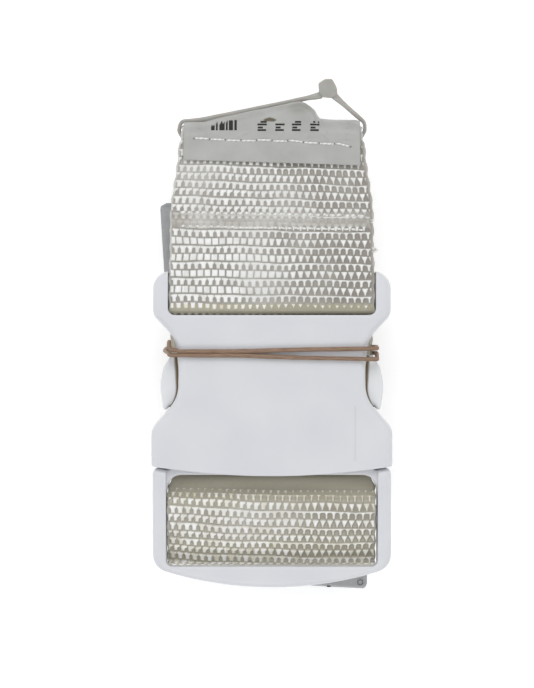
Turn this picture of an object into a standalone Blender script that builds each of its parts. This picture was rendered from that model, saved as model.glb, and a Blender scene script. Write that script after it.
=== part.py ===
"""Flat webbing strap with a side-release buckle, folded up small as it is sold.

The bundle lies on its back. +X runs across the webbing, +Y along the buckle from its
plug towards its socket, and +Z up through the pile. The origin is on the surface that
the bundle lies on, at the middle of its length and width.
"""

import math

import bmesh
import bpy
from mathutils import Matrix, Vector

MM = 0.001

# --- Webbing -------------------------------------------------------------------------
WEBBING_WIDTH = 50.0 * MM
WEBBING_THICKNESS = 1.4 * MM
WEBBING_PINCH = 3.8 * MM          # width lost where the tag loop draws the top fold in
FIT_GAP = 0.3 * MM                # between pieces that touch

# --- Buckle housing (socket) ---------------------------------------------------------
BUCKLE_THICKNESS = 12.0 * MM
PLATE_THICKNESS = 1.9 * MM        # front and back plates round the cavity
SLOT_SIDE_CLEARANCE = 0.4 * MM    # from the webbing's edge to the end of its slot
EAR_WALL = 3.7 * MM               # beside the webbing, at the housing's top
EAR_TOP = 15.6 * MM
EAR_CORNER = 4.5 * MM
SHOULDER_OVERHANG = 0.4 * MM      # the shoulders stand this much wider than the ears
WAIST_INSET = 1.5 * MM            # the waist is this much narrower than the webbing's edge
RECESS_INSET = 2.1 * MM           # the same, at the middle of the finger recess
SHOULDER_TOP = -20.0 * MM
MOUTH_SIDE = -32.3 * MM           # rim of the mouth at the sides
MOUTH_BOW = 2.4 * MM              # the rim bows outwards by this at the middle
SIDE_WALL = 4.3 * MM              # side walls that the arms hook behind
RECESS_TOP = -4.8 * MM
CAVITY_TOP = -0.8 * MM
SLOT_BOTTOM = 4.4 * MM
SLOT_WIDTH = 2.4 * MM
SOCKET_BAR_LENGTH = 6.0 * MM      # along Y
SOCKET_BAR_THICKNESS = 6.5 * MM
HOUSING_EDGE = 1.8 * MM           # rounding of the outer edges

# --- Plug ----------------------------------------------------------------------------
PLUG_CLEARANCE = 0.35 * MM        # plug to housing, all round
PLUG_RAIL = 3.3 * MM
PLUG_INSET = 0.3 * MM             # the rails stand in from the shoulders by this
PLUG_THICKNESS = 10.0 * MM
PLUG_END = -62.0 * MM
PLUG_END_BOW = 4.8 * MM
PLUG_CORNER = 4.5 * MM
END_BAR_INNER = -56.8 * MM
END_BAR_THICKNESS = 5.0 * MM
CROSSBAR_LENGTH = 2.6 * MM
CENTRE_BAR_START = -42.2 * MM
CENTRE_BAR_LENGTH = 5.0 * MM
CENTRE_BAR_THICKNESS = 3.9 * MM
CENTRE_BAR_DROP = 2.5 * MM        # below the rails' front, which leaves room for the webbing
TONGUE_WIDTH = 18.0 * MM
TONGUE_THICKNESS = 3.0 * MM
TONGUE_TIP = -3.5 * MM
GUIDE_RIB = 1.4 * MM

# --- Spring arms ---------------------------------------------------------------------
ARM_THICKNESS = 2.8 * MM
ARM_DEPTH = 7.0 * MM
ARM_ROOT_RADIUS = 1.7 * MM
BUTTON_REACH = 2.3 * MM           # the button stands out past the side wall's inner face
BUTTON_HOOK = 1.5 * MM            # the hook's overlap with the side wall

# --- Pile of folded webbing ----------------------------------------------------------
FOLD_RADIUS = 4.5 * MM            # top fold, round the tag loop's strand
FOLD_CENTRE = 46.9 * MM
TAIL_OF_LOOP = 33.4 * MM          # sewn end of the webbing behind the front run
SEAM = 28.0 * MM
PILE_TOP = 46.0 * MM
PILE_BOTTOM = -54.0 * MM
INNER_END = 38.0 * MM             # hidden ends of the webbing inside the pile
HEM_LENGTH = 20.0 * MM
RUN_END = 39.5 * MM               # hidden ends of the two runs behind the buckle

# --- Small things --------------------------------------------------------------------
LABEL_WIDTH = 43.6 * MM
LABEL_THICKNESS = 0.25 * MM
LABEL_END = 43.3 * MM
LABEL_SEAM = 47.8 * MM
LABEL_BACK_END = 42.5 * MM
LABEL_STITCH_HALF_WIDTH = 17.2 * MM
THREAD = 0.5 * MM
BAND_WIDTH = 1.1 * MM
BAND_Y = -3.9 * MM
BAND_SPREAD = 1.5 * MM
STRAND = 1.2 * MM
TAG_HEAD_X = 13.9 * MM
TAG_HEAD_SIZE = 4.8 * MM
TAG_HEAD_DEPTH = 3.0 * MM
TAG_TOP = 63.4 * MM
TAG_LIFT_DEG = 8.0
LEAFLET_LEFT = -28.3 * MM
LEAFLET_RIGHT = 24.1 * MM
LEAFLET_TOP = 33.3 * MM
LEAFLET_FOOT = -63.6 * MM
PAPER = 0.25 * MM

# --- Worked out from the above -------------------------------------------------------
HALF_WEBBING = WEBBING_WIDTH / 2
PITCH = WEBBING_THICKNESS + FIT_GAP
HALF_SLOT = HALF_WEBBING + SLOT_SIDE_CLEARANCE
HALF_EAR = HALF_SLOT + EAR_WALL
HALF_SHOULDER = HALF_EAR + SHOULDER_OVERHANG
HALF_CAVITY = HALF_SHOULDER - SIDE_WALL
HALF_PLUG = HALF_SHOULDER - PLUG_INSET
HALF_WINDOW = HALF_PLUG - PLUG_RAIL

LEAFLET_DEPTH = 2 * PAPER + FIT_GAP
Z_TAIL_3 = WEBBING_THICKNESS / 2
Z_HEM = Z_TAIL_3 + PITCH
Z_TAIL_2 = Z_HEM + PITCH
Z_LEAFLET = Z_TAIL_2 + WEBBING_THICKNESS / 2 + FIT_GAP
Z_TAIL_1 = Z_LEAFLET + LEAFLET_DEPTH + FIT_GAP + WEBBING_THICKNESS / 2
Z_TAIL_0 = Z_TAIL_1 + PITCH
Z_STANDING_1 = Z_TAIL_0 + PITCH
Z_STANDING_0 = Z_STANDING_1 + PITCH
Z_LOWER_RUN = Z_STANDING_0 + PITCH
Z_UPPER_RUN = Z_LOWER_RUN + PITCH
BUCKLE_BACK = Z_UPPER_RUN + WEBBING_THICKNESS / 2 + FIT_GAP
BUCKLE_FRONT = BUCKLE_BACK + BUCKLE_THICKNESS
CAVITY_BACK = BUCKLE_BACK + PLATE_THICKNESS
CAVITY_FRONT = BUCKLE_FRONT - PLATE_THICKNESS
BUCKLE_MID = (BUCKLE_BACK + BUCKLE_FRONT) / 2
PLUG_BACK = BUCKLE_MID - PLUG_THICKNESS / 2
PLUG_FRONT = BUCKLE_MID + PLUG_THICKNESS / 2
FOLD_AXIS_Z = Z_STANDING_0 + FOLD_RADIUS


# --- Helpers -------------------------------------------------------------------------
def rounded(corners, closed, arc_step=math.radians(15)):
    """A line through corners (a, b, radius), with each corner rounded to its radius."""
    points = []
    count = len(corners)
    for i, (a, b, radius) in enumerate(corners):
        here = Vector((a, b))
        at_end = not closed and i in (0, count - 1)
        if radius == 0 or at_end:
            points.append(here)
            continue
        before = Vector(corners[i - 1][:2]) - here
        after = Vector(corners[(i + 1) % count][:2]) - here
        angle = before.angle(after)
        reach = radius / math.tan(angle / 2)
        start = here + before.normalized() * reach
        middle = here + (before.normalized() + after.normalized()).normalized() * (
            radius / math.sin(angle / 2)
        )
        turn = math.pi - angle
        steps = max(1, math.ceil(turn / arc_step))
        arm = start - middle
        sign = -1 if before.cross(after) > 0 else 1
        for k in range(steps + 1):
            spin = Matrix.Rotation(sign * turn * k / steps, 2)
            points.append(middle + spin @ arm)
    return points


def densified(points, step, closed):
    """The same line with no two points further apart than step."""
    dense = []
    following = points[1:] + points[:1] if closed else points[1:]
    for a, b in zip(points, following):
        parts = max(1, math.ceil((b - a).length / step))
        dense += [a.lerp(b, k / parts) for k in range(parts)]
    return dense if closed else dense + [points[-1]]


def mirrored(half):
    """Both sides of an outline whose right half runs from the top down, x >= 0."""
    return list(half) + [(-x, y, r) for x, y, r in reversed(half)]


def add_object(name, mesh, material):
    mesh.shade_smooth()
    mesh.set_sharp_from_angle(angle=math.radians(35))
    obj = bpy.data.objects.new(name, mesh)
    bpy.context.scene.collection.objects.link(obj)
    if material:
        mesh.materials.append(material)
    return obj


def place_under(obj, parent):
    """Parents an object whose mesh is in world places, keeping it where it is."""
    obj.parent = parent
    obj.matrix_parent_inverse = parent.matrix_world.inverted()


def mesh_from(name, vertices, faces):
    mesh = bpy.data.meshes.new(name)
    mesh.from_pydata([tuple(v) for v in vertices], [], faces)
    work = bmesh.new()
    work.from_mesh(mesh)
    bmesh.ops.recalc_face_normals(work, faces=work.faces)
    work.to_mesh(mesh)
    work.free()
    return mesh


def prism(name, outline, low, high, axis="Z"):
    """A closed outline pushed along Z from low to high, or along X with outline in (y, z)."""
    count = len(outline)
    vertices = []
    for level in (low, high):
        for p in outline:
            vertices.append((p[0], p[1], level) if axis == "Z" else (level, p[0], p[1]))
    faces = [tuple(range(count)), tuple(range(count, 2 * count))]
    for i in range(count):
        j = (i + 1) % count
        faces.append((i, j, count + j, count + i))
    return mesh_from(name, vertices, faces)


def ribbon(name, route, edges, thickness):
    """A flat strip along a route of (y, z); edges(point) gives its left and right x."""
    vertices = []
    last = len(route) - 1
    for i, point in enumerate(route):
        ahead = (route[min(i + 1, last)] - point).normalized()
        behind = (point - route[max(i - 1, 0)]).normalized()
        along = (ahead + behind).normalized()
        across = Vector((-along.y, along.x)) * (thickness / 2)
        left, right = edges(point)
        for x, face in ((left, 1), (right, 1), (right, -1), (left, -1)):
            p = point + across * face
            vertices.append((x, p.x, p.y))
    faces = [(0, 1, 2, 3), tuple(4 * last + k for k in range(4))]
    for i in range(last):
        for k in range(4):
            m = (k + 1) % 4
            faces.append((4 * i + k, 4 * i + m, 4 * i + 4 + m, 4 * i + 4 + k))
    return mesh_from(name, vertices, faces)


def tube(name, points, radius, sides, closed):
    """A round strand along points, as a ring of sides corners at each point."""
    count = len(points)
    normal = Vector((0, 0, 1))
    vertices = []
    for i, point in enumerate(points):
        ahead = points[(i + 1) % count] if closed or i < count - 1 else point
        behind = points[i - 1] if closed or i > 0 else point
        along = (ahead - behind).normalized()
        normal = normal - along * normal.dot(along)
        if normal.length < 0.2:
            normal = along.orthogonal()
        normal.normalize()
        other = along.cross(normal)
        for k in range(sides):
            a = 2 * math.pi * k / sides
            vertices.append(point + radius * (math.cos(a) * normal + math.sin(a) * other))
    faces = []
    for i in range(count if closed else count - 1):
        j = (i + 1) % count
        for k in range(sides):
            m = (k + 1) % sides
            faces.append((i * sides + k, i * sides + m, j * sides + m, j * sides + k))
    if not closed:
        faces.append(tuple(range(sides)))
        faces.append(tuple((count - 1) * sides + k for k in range(sides)))
    return mesh_from(name, vertices, faces)


def join_by(obj, tool_mesh, operation):
    """Cuts tool_mesh out of obj, or joins it on, with a Boolean modifier."""
    tool = add_object("tool_" + tool_mesh.name, tool_mesh, None)
    tool.hide_render = True
    tool.display_type = "WIRE"
    modifier = obj.modifiers.new(tool_mesh.name, "BOOLEAN")
    modifier.object = tool
    modifier.operation = operation
    modifier.solver = "EXACT"
    return tool


def round_edges(obj, width, segments=3, angle_deg=50):
    bevel = obj.modifiers.new("rounded_edges", "BEVEL")
    bevel.width = width
    bevel.segments = segments
    bevel.limit_method = "ANGLE"
    bevel.angle_limit = math.radians(angle_deg)


def finish(name, colour, roughness, specular=0.5):
    material = bpy.data.materials.new(name)
    material.use_nodes = True
    shader = material.node_tree.nodes["Principled BSDF"]
    shader.inputs["Base Color"].default_value = (*colour, 1)
    shader.inputs["Roughness"].default_value = roughness
    shader.inputs["Specular IOR Level"].default_value = specular
    return material


def body_origin(name, x, y, z):
    empty = bpy.data.objects.new(name, None)
    empty.location = (x, y, z)
    bpy.context.scene.collection.objects.link(empty)
    bpy.context.view_layer.update()
    return empty


# --- Buckle --------------------------------------------------------------------------
def mouth_y(x):
    """The bowed rim of the housing's mouth."""
    return MOUTH_SIDE - MOUTH_BOW * (1 - (x / HALF_SHOULDER) ** 2)


def bowed_line(depth, half, steps=16):
    """Points along the mouth's rim, pushed out by depth, from +half to -half."""
    xs = [half - 2 * half * k / steps for k in range(steps + 1)]
    return [(x, mouth_y(x) - depth, 0) for x in xs]


def housing_outline():
    waist = HALF_WEBBING - WAIST_INSET
    recess = HALF_WEBBING - RECESS_INSET
    return mirrored([
        (HALF_EAR, EAR_TOP, EAR_CORNER),
        (HALF_EAR, SLOT_BOTTOM, 3.5 * MM),
        (waist, -1.2 * MM, 8 * MM),
        (recess, -11.0 * MM, 14 * MM),
        (HALF_WEBBING - 0.3 * MM, SHOULDER_TOP + 1.2 * MM, 2.2 * MM),
        (HALF_SHOULDER - 2.0 * MM, SHOULDER_TOP - 0.5 * MM, 3 * MM),
        (HALF_SHOULDER, SHOULDER_TOP - 4.0 * MM, 4 * MM),
        (HALF_SHOULDER, MOUTH_SIDE - 8 * MM, 0),
    ])


def make_socket(plastic):
    outline = rounded(housing_outline(), closed=True)
    mesh = prism("socket_body", outline, BUCKLE_BACK, BUCKLE_FRONT)
    socket = add_object("socket_body", mesh, plastic)
    round_edges(socket, HOUSING_EDGE)
    far = 20 * MM
    rim = bowed_line(0, HALF_SHOULDER + far) + [(-HALF_SHOULDER - far, MOUTH_SIDE - 3 * far, 0),
                                                (HALF_SHOULDER + far, MOUTH_SIDE - 3 * far, 0)]
    join_by(socket, prism("mouth_cut", rounded(rim, True), 0, BUCKLE_FRONT + far), "DIFFERENCE")
    step = HALF_CAVITY - 4.0 * MM
    cavity = mirrored([
        (step, CAVITY_TOP, 1 * MM),
        (step, RECESS_TOP, 0),
        (HALF_CAVITY, RECESS_TOP, 0),
        (HALF_CAVITY, MOUTH_SIDE - far, 0),
    ])
    join_by(socket, prism("cavity", rounded(cavity, True), CAVITY_BACK, CAVITY_FRONT), "DIFFERENCE")
    notch = mirrored([(HALF_CAVITY, MOUTH_SIDE, 0), (HALF_CAVITY, MOUTH_SIDE - far, 0)])
    notch_mesh = prism("back_notch", rounded(notch, True), 0, CAVITY_BACK + 1 * MM)
    join_by(socket, notch_mesh, "DIFFERENCE")
    window = mirrored([(HALF_SLOT, EAR_TOP + far, 0), (HALF_SLOT, SLOT_BOTTOM, 1.2 * MM)])
    window_mesh = prism("webbing_slot", rounded(window, True), 0, BUCKLE_FRONT + far)
    join_by(socket, window_mesh, "DIFFERENCE")
    join_by(socket, socket_bar(), "UNION")
    for side in (-1, 1):
        join_by(socket, guide_rib(side), "UNION")
    return socket


def bar_section(start, length, low, high, edge):
    """The rounded section of a bar that webbing runs over, in (y, z)."""
    corners = [(start, low, edge), (start + length, low, edge),
               (start + length, high, edge), (start, high, edge)]
    return rounded(corners, closed=True, arc_step=math.radians(30))


def socket_bar():
    low = BUCKLE_MID - SOCKET_BAR_THICKNESS / 2 - 0.2 * MM
    section = bar_section(SLOT_BOTTOM + SLOT_WIDTH, SOCKET_BAR_LENGTH, low,
                          low + SOCKET_BAR_THICKNESS, 0.9 * MM)
    reach = HALF_SLOT + EAR_WALL / 2
    return prism("socket_bar", section, -reach, reach, axis="X")


def guide_rib(side):
    """A rib beside the plug's tongue, standing on the housing's back plate."""
    inner = TONGUE_WIDTH / 2 + PLUG_CLEARANCE
    outer = inner + GUIDE_RIB
    xs = sorted((side * inner, side * outer))
    outline = [(xs[0], CAVITY_TOP + 1 * MM), (xs[1], CAVITY_TOP + 1 * MM),
               (xs[1], MOUTH_SIDE + 6 * MM), (xs[0], MOUTH_SIDE + 6 * MM)]
    return prism("guide_rib", [Vector(p) for p in outline], CAVITY_BACK - 1 * MM, BUCKLE_MID + 0.5 * MM)


def plug_end():
    """The plug's bowed end, from its right corner to its left one."""
    xs = [HALF_PLUG * 0.8 * (1 - k / 8) for k in range(17)]
    bow = [(x, PLUG_END + PLUG_END_BOW * (x / HALF_PLUG) ** 2, 0) for x in xs]
    corner = PLUG_END + PLUG_END_BOW
    return [(HALF_PLUG, corner, PLUG_CORNER)] + bow + [(-HALF_PLUG, corner, PLUG_CORNER)]


def make_plug_frame(plastic, origin):
    outline = plug_end() + bowed_line(PLUG_CLEARANCE, HALF_PLUG)[::-1]
    mesh = prism("plug_frame", rounded(outline, True), PLUG_BACK, PLUG_FRONT)
    plug = add_object("plug_frame", mesh, plastic)
    round_edges(plug, 1.4 * MM)
    far = 20 * MM
    window = mirrored([(HALF_WINDOW, MOUTH_SIDE + far, 0), (HALF_WINDOW, END_BAR_INNER, 1.2 * MM)])
    join_by(plug, prism("window", rounded(window, True), 0, PLUG_FRONT + far), "DIFFERENCE")
    under = mirrored([(HALF_WINDOW, END_BAR_INNER + 1 * MM, 0), (HALF_WINDOW, PLUG_END - far, 0)])
    under_mesh = prism("under_end_bar", rounded(under, True), 0, PLUG_FRONT - END_BAR_THICKNESS)
    join_by(plug, under_mesh, "DIFFERENCE")
    join_by(plug, crossbar(), "UNION")
    join_by(plug, tongue(), "UNION")
    join_by(plug, centre_bar(), "UNION")
    place_under(plug, origin)
    return plug


def crossbar_bottom():
    return MOUTH_SIDE - MOUTH_BOW + 0.2 * MM


def crossbar():
    """Joins the rails across the mouth and carries the tongue and the arms."""
    inside = HALF_CAVITY - PLUG_CLEARANCE
    lower = crossbar_bottom()
    rail_mid = HALF_WINDOW + PLUG_RAIL / 2
    ledge = mouth_y(HALF_CAVITY) - PLUG_CLEARANCE
    outline = mirrored([
        (inside, lower + CROSSBAR_LENGTH, 0),
        (inside, ledge, 0),
        (rail_mid, ledge, 0),
        (rail_mid, lower - 2.6 * MM, 0),
        (HALF_WINDOW - 0.2 * MM, lower - 2.6 * MM, 0),
        (HALF_WINDOW - 1.6 * MM, lower, 0),
    ])
    low = CAVITY_BACK + PLUG_CLEARANCE
    return prism("crossbar", rounded(outline, True), low, CAVITY_FRONT - PLUG_CLEARANCE)


def tongue():
    outline = mirrored([
        (TONGUE_WIDTH / 2 - 2 * MM, TONGUE_TIP, 0.8 * MM),
        (TONGUE_WIDTH / 2, TONGUE_TIP - 3 * MM, 1 * MM),
        (TONGUE_WIDTH / 2, crossbar_bottom() + 1 * MM, 0),
    ])
    half = TONGUE_THICKNESS / 2
    return prism("tongue", rounded(outline, True), BUCKLE_MID - half, BUCKLE_MID + half)


def centre_bar():
    high = PLUG_FRONT - CENTRE_BAR_DROP
    section = bar_section(CENTRE_BAR_START - CENTRE_BAR_LENGTH, CENTRE_BAR_LENGTH,
                          high - CENTRE_BAR_THICKNESS, high, 1.2 * MM)
    reach = HALF_WINDOW + PLUG_RAIL / 2
    return prism("centre_bar", section, -reach, reach, axis="X")


def arm_root():
    """Centre of the arm's rounded root, where it flexes."""
    x = HALF_CAVITY - PLUG_CLEARANCE - ARM_ROOT_RADIUS
    y = crossbar_bottom() + CROSSBAR_LENGTH + FIT_GAP + ARM_ROOT_RADIUS
    return x, y


def make_arm(name, side, plastic, origin):
    root_x, root_y = arm_root()
    outer = HALF_CAVITY - PLUG_CLEARANCE
    inner = outer - ARM_THICKNESS
    hook_y = SHOULDER_TOP + 0.9 * MM
    peak = HALF_CAVITY + BUTTON_REACH
    radius = ARM_ROOT_RADIUS
    root = [(root_x + radius * math.cos(a), root_y + radius * math.sin(a), 0)
            for a in [-math.pi * k / 8 for k in range(9)]]
    rest = [
        (root_x - radius, root_y + 2.5 * MM, 0),
        (inner, root_y + 4 * MM, 2 * MM),
        (inner, hook_y - 1 * MM, 2 * MM),
        (inner - 1.4 * MM, hook_y + 3 * MM, 3 * MM),
        (inner - 1.4 * MM, RECESS_TOP - 1.5 * MM, 1.2 * MM),
        (inner + 0.4 * MM, RECESS_TOP - 0.4 * MM, 0.6 * MM),
        (outer - 0.1 * MM, RECESS_TOP - 0.4 * MM, 0.8 * MM),
        (peak - 0.9 * MM, RECESS_TOP - 3.2 * MM, 4 * MM),
        (peak, (hook_y + RECESS_TOP) / 2 - 0.6 * MM, 12 * MM),
        (HALF_CAVITY + BUTTON_HOOK, hook_y, 0.6 * MM),
        (outer, hook_y + 1.3 * MM, 0),
    ]
    outline = [(side * p.x, p.y) for p in rounded(root + rest, closed=True)]
    half = ARM_DEPTH / 2
    mesh = prism(name, [Vector(p) for p in outline], BUCKLE_MID - half, BUCKLE_MID + half)
    arm = add_object(name, mesh, plastic)
    round_edges(arm, 0.6 * MM, segments=2)
    place_under(arm, origin)
    return arm


# --- Webbing -------------------------------------------------------------------------
def full_width(_):
    return -HALF_WEBBING, HALF_WEBBING


def pinched(point):
    """The standing run, drawn in by the tag loop near the top fold."""
    near = (point.x - SEAM) / (FOLD_CENTRE - SEAM)
    near = min(max(near, 0), 1)
    half = HALF_WEBBING - WEBBING_PINCH / 2 * near * near * (3 - 2 * near)
    return -half, half


def bar_front_z():
    low = BUCKLE_MID - SOCKET_BAR_THICKNESS / 2 - 0.2 * MM
    return low + SOCKET_BAR_THICKNESS + FIT_GAP + WEBBING_THICKNESS / 2


def front_run_ends():
    """The front run's two corners: above the socket's bar, and past the fold it is tangent to."""
    start = Vector((SLOT_BOTTOM + SLOT_WIDTH + 4 * MM, bar_front_z()))
    to_centre = Vector((FOLD_CENTRE, FOLD_AXIS_Z)) - start
    angle = math.atan2(to_centre.y, to_centre.x) + math.asin(FOLD_RADIUS / to_centre.length)
    reach = FOLD_CENTRE + FOLD_RADIUS - start.x
    return start, Vector((start.x + reach, start.y + reach * math.tan(angle)))


def front_run_z(y, offset=0):
    """Height of a layer lying at offset from the front run's centre line, at y."""
    start, end = front_run_ends()
    slope = (end.y - start.y) / (end.x - start.x)
    return start.y + slope * (y - start.x) + offset * math.hypot(1, slope)


def standing_route():
    half = WEBBING_THICKNESS / 2
    slot_y = SLOT_BOTTOM + SLOT_WIDTH - FIT_GAP - half
    back_z = BUCKLE_MID - SOCKET_BAR_THICKNESS / 2 - 0.2 * MM - FIT_GAP - half
    start, end = front_run_ends()
    turn = PITCH / 2
    return rounded([
        (TAIL_OF_LOOP, front_run_z(TAIL_OF_LOOP, -PITCH), 0),
        (SEAM - 3 * MM, front_run_z(SEAM - 3 * MM, -PITCH), 8 * MM),
        (SLOT_BOTTOM + SLOT_WIDTH + SOCKET_BAR_LENGTH - 1 * MM, back_z, 5 * MM),
        (slot_y, back_z, 1.5 * MM),
        (slot_y, start.y, 1.5 * MM),
        (start.x, start.y, 10 * MM),
        (end.x, end.y, FOLD_RADIUS),
        (end.x, Z_STANDING_0, FOLD_RADIUS),
        (PILE_BOTTOM, Z_STANDING_0, turn),
        (PILE_BOTTOM, Z_STANDING_1, turn),
        (INNER_END, Z_STANDING_1, 0),
    ], closed=False)


def tail_route():
    """The loose tail: four layers, lifted over the band, with a folded hem at its end."""
    turn = PITCH / 2
    lift = BAND_WIDTH + FIT_GAP
    half_lift = BAND_SPREAD / 2 + BAND_WIDTH
    second = (Z_TAIL_1 - Z_TAIL_2) / 2
    third = (Z_TAIL_2 - Z_TAIL_3) / 2
    return rounded([
        (INNER_END, Z_TAIL_0, 0),
        (PILE_BOTTOM + 1 * MM, Z_TAIL_0, turn),
        (PILE_BOTTOM + 1 * MM, Z_TAIL_1, turn),
        (PILE_TOP, Z_TAIL_1, second),
        (PILE_TOP, Z_TAIL_2, second),
        (PILE_BOTTOM + 2 * MM, Z_TAIL_2, third),
        (PILE_BOTTOM + 2 * MM, Z_TAIL_3, third),
        (BAND_Y - half_lift - 2.5 * MM, Z_TAIL_3, 3 * MM),
        (BAND_Y - half_lift, Z_TAIL_3 + lift, 3 * MM),
        (BAND_Y + half_lift, Z_TAIL_3 + lift, 3 * MM),
        (BAND_Y + half_lift + 2.5 * MM, Z_TAIL_3, 3 * MM),
        (PILE_TOP - 1 * MM, Z_TAIL_3, turn),
        (PILE_TOP - 1 * MM, Z_HEM, turn),
        (PILE_TOP - HEM_LENGTH, Z_HEM, 0),
    ], closed=False)


def adjuster_route():
    """Up from behind, over the centre bar, under the end bar and back."""
    half = WEBBING_THICKNESS / 2
    bar_top = PLUG_FRONT - CENTRE_BAR_DROP + FIT_GAP + half
    bar_front = CENTRE_BAR_START
    bar_back = CENTRE_BAR_START - CENTRE_BAR_LENGTH
    under_bar = PLUG_FRONT - END_BAR_THICKNESS - FIT_GAP - half
    curl = (Z_UPPER_RUN + Z_LOWER_RUN) / 2
    return rounded([
        (RUN_END, Z_UPPER_RUN, 0),
        (MOUTH_SIDE - 0.8 * MM - half, Z_UPPER_RUN, 3 * MM),
        (bar_front + 0.8 * MM + half, bar_top, 3 * MM),
        (bar_back + 2.4 * MM - WEBBING_THICKNESS, bar_top, 10 * MM),
        (END_BAR_INNER + FIT_GAP + half + 0.1 * MM, under_bar + 0.1 * MM, 2.5 * MM),
        (END_BAR_INNER - 0.9 * MM, curl, 2 * MM),
        (END_BAR_INNER + 1.5 * MM, Z_LOWER_RUN, 2 * MM),
        (RUN_END, Z_LOWER_RUN, 0),
    ], closed=False)


def beside_gussets(point):
    """The adjuster run, narrower where its edges curl past the plug's gussets."""
    rising = point.y > BUCKLE_BACK
    near = max(0, 1 - abs(point.x - crossbar_bottom()) / (5 * MM)) if rising else 0
    half = HALF_WEBBING - 1.6 * MM * near
    return -half, half


def label_route():
    """The label lies on the front run and turns over the top fold."""
    away = WEBBING_THICKNESS / 2 + FIT_GAP + LABEL_THICKNESS / 2
    radius = FOLD_RADIUS + away
    back_z = Z_STANDING_0 - away
    start = LABEL_END
    edge = FOLD_CENTRE + radius
    return rounded([
        (start, front_run_z(start, away), 0),
        (edge, front_run_z(edge, away), radius),
        (edge, back_z, radius),
        (LABEL_BACK_END, back_z, 0),
    ], closed=False)


def make_label(satin):
    edges = (-LABEL_WIDTH / 2, LABEL_WIDTH / 2)
    mesh = ribbon("care_label", label_route(), lambda p: edges, LABEL_THICKNESS)
    return add_object("care_label", mesh, satin)


def make_label_thread(yarn):
    """One lockstitch run: up one side, across the label and down the other side."""
    away = WEBBING_THICKNESS / 2 + 2 * FIT_GAP + LABEL_THICKNESS + THREAD / 2
    half = LABEL_STITCH_HALF_WIDTH
    top = FOLD_CENTRE + FOLD_RADIUS * 0.7
    corners = [(-half, top, 0), (-half, LABEL_SEAM, 1 * MM), (half, LABEL_SEAM, 1 * MM), (half, top, 0)]
    radius = FOLD_RADIUS + away
    start, end = front_run_ends()
    run = (end - start).normalized()
    meets_fold = FOLD_CENTRE - radius * run.y
    points = []
    for p in densified(rounded(corners, closed=False), 2 * MM, closed=False):
        if p.y < meets_fold:
            points.append(Vector((p.x, p.y, front_run_z(p.y, away))))
            continue
        rise = math.sqrt(radius ** 2 - (p.y - FOLD_CENTRE) ** 2)
        points.append(Vector((p.x, p.y, FOLD_AXIS_Z + rise)))
    return add_object("label_thread", tube("label_thread", points, THREAD / 2, 6, False), yarn)


def make_seam_thread(name, y, surface_z, half, yarn):
    """A zigzag row of stitches across the webbing, as one run of thread."""
    steps = 24
    reach = 0.6 * MM
    points = []
    for k in range(steps + 1):
        x = -half + 2 * half * k / steps
        side = reach if k % 2 else -reach
        points.append(Vector((x, y + side, surface_z(y + side))))
    return add_object(name, tube(name, points, THREAD / 2, 6, False), yarn)


# --- Band, tag loop, leaflet ---------------------------------------------------------
def band_loop():
    """Twice round the waist and the pile; the two turns change places down the left side."""
    r = BAND_WIDTH / 2
    side = HALF_WEBBING + FIT_GAP + r
    waist = HALF_WEBBING - WAIST_INSET + FIT_GAP + r + 0.6 * MM
    low = r + 0.05 * MM
    high = BUCKLE_FRONT + FIT_GAP + r
    corners = [(0, low, 0), (side, low, 1.5 * MM), (side, BUCKLE_BACK, 3 * MM),
               (waist, high, 1.5 * MM), (-waist, high, 1.5 * MM),
               (-side, BUCKLE_BACK, 3 * MM), (-side, low, 1.5 * MM)]
    ring = densified(rounded(corners, closed=True), 4 * MM, closed=True)
    change_top = high - 4 * MM
    change_bottom = low + 4 * MM
    points = []
    for turn in (1, -1):
        changed = 0
        for p in ring:
            if p.x < -waist + 2 * MM and p.y < change_top:
                changed = min((change_top - p.y) / (change_top - change_bottom), 1)
            y = BAND_Y + turn * BAND_SPREAD / 2 * (1 - 2 * changed)
            outward = (BAND_WIDTH + FIT_GAP) * math.sin(math.pi * changed) if turn < 0 else 0
            points.append(Vector((p.x - outward, y, p.y)))
    return points


def tag_loop_points():
    """Across the top fold on its axis, round both edges and up to the head, as (x, radius)."""
    edge = HALF_WEBBING - WEBBING_PINCH / 2 + FIT_GAP + STRAND / 2 + 0.2 * MM
    clear = FOLD_RADIUS + WEBBING_THICKNESS / 2 + LABEL_THICKNESS + 2 * FIT_GAP + STRAND / 2 + 0.1 * MM
    head = TAG_TOP - FOLD_CENTRE - TAG_HEAD_SIZE * 0.75
    corners = [
        (TAG_HEAD_X - 1.2 * MM, head, 0),
        (-edge + 5 * MM, clear + 0.7 * MM, 8 * MM),
        (-edge - 0.5 * MM, clear - 1.5 * MM, 1.6 * MM),
        (-edge, 0, 1.0 * MM),
        (edge, 0, 1.0 * MM),
        (edge + 0.5 * MM, clear - 0.5 * MM, 2.5 * MM),
        (edge - 4 * MM, clear + 2.5 * MM, 3 * MM),
        (TAG_HEAD_X + 1.0 * MM, head, 0),
    ]
    return densified(rounded(corners, closed=False), 5 * MM, closed=False)


def lifted(x, radius, depth=0):
    """A place on the tag loop's plane, which is tipped up about the fold's axis."""
    tilt = math.radians(TAG_LIFT_DEG)
    y = FOLD_CENTRE + radius * math.cos(tilt) - depth * math.sin(tilt)
    z = FOLD_AXIS_Z + radius * math.sin(tilt) + depth * math.cos(tilt)
    return Vector((x, y, z))


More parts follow.
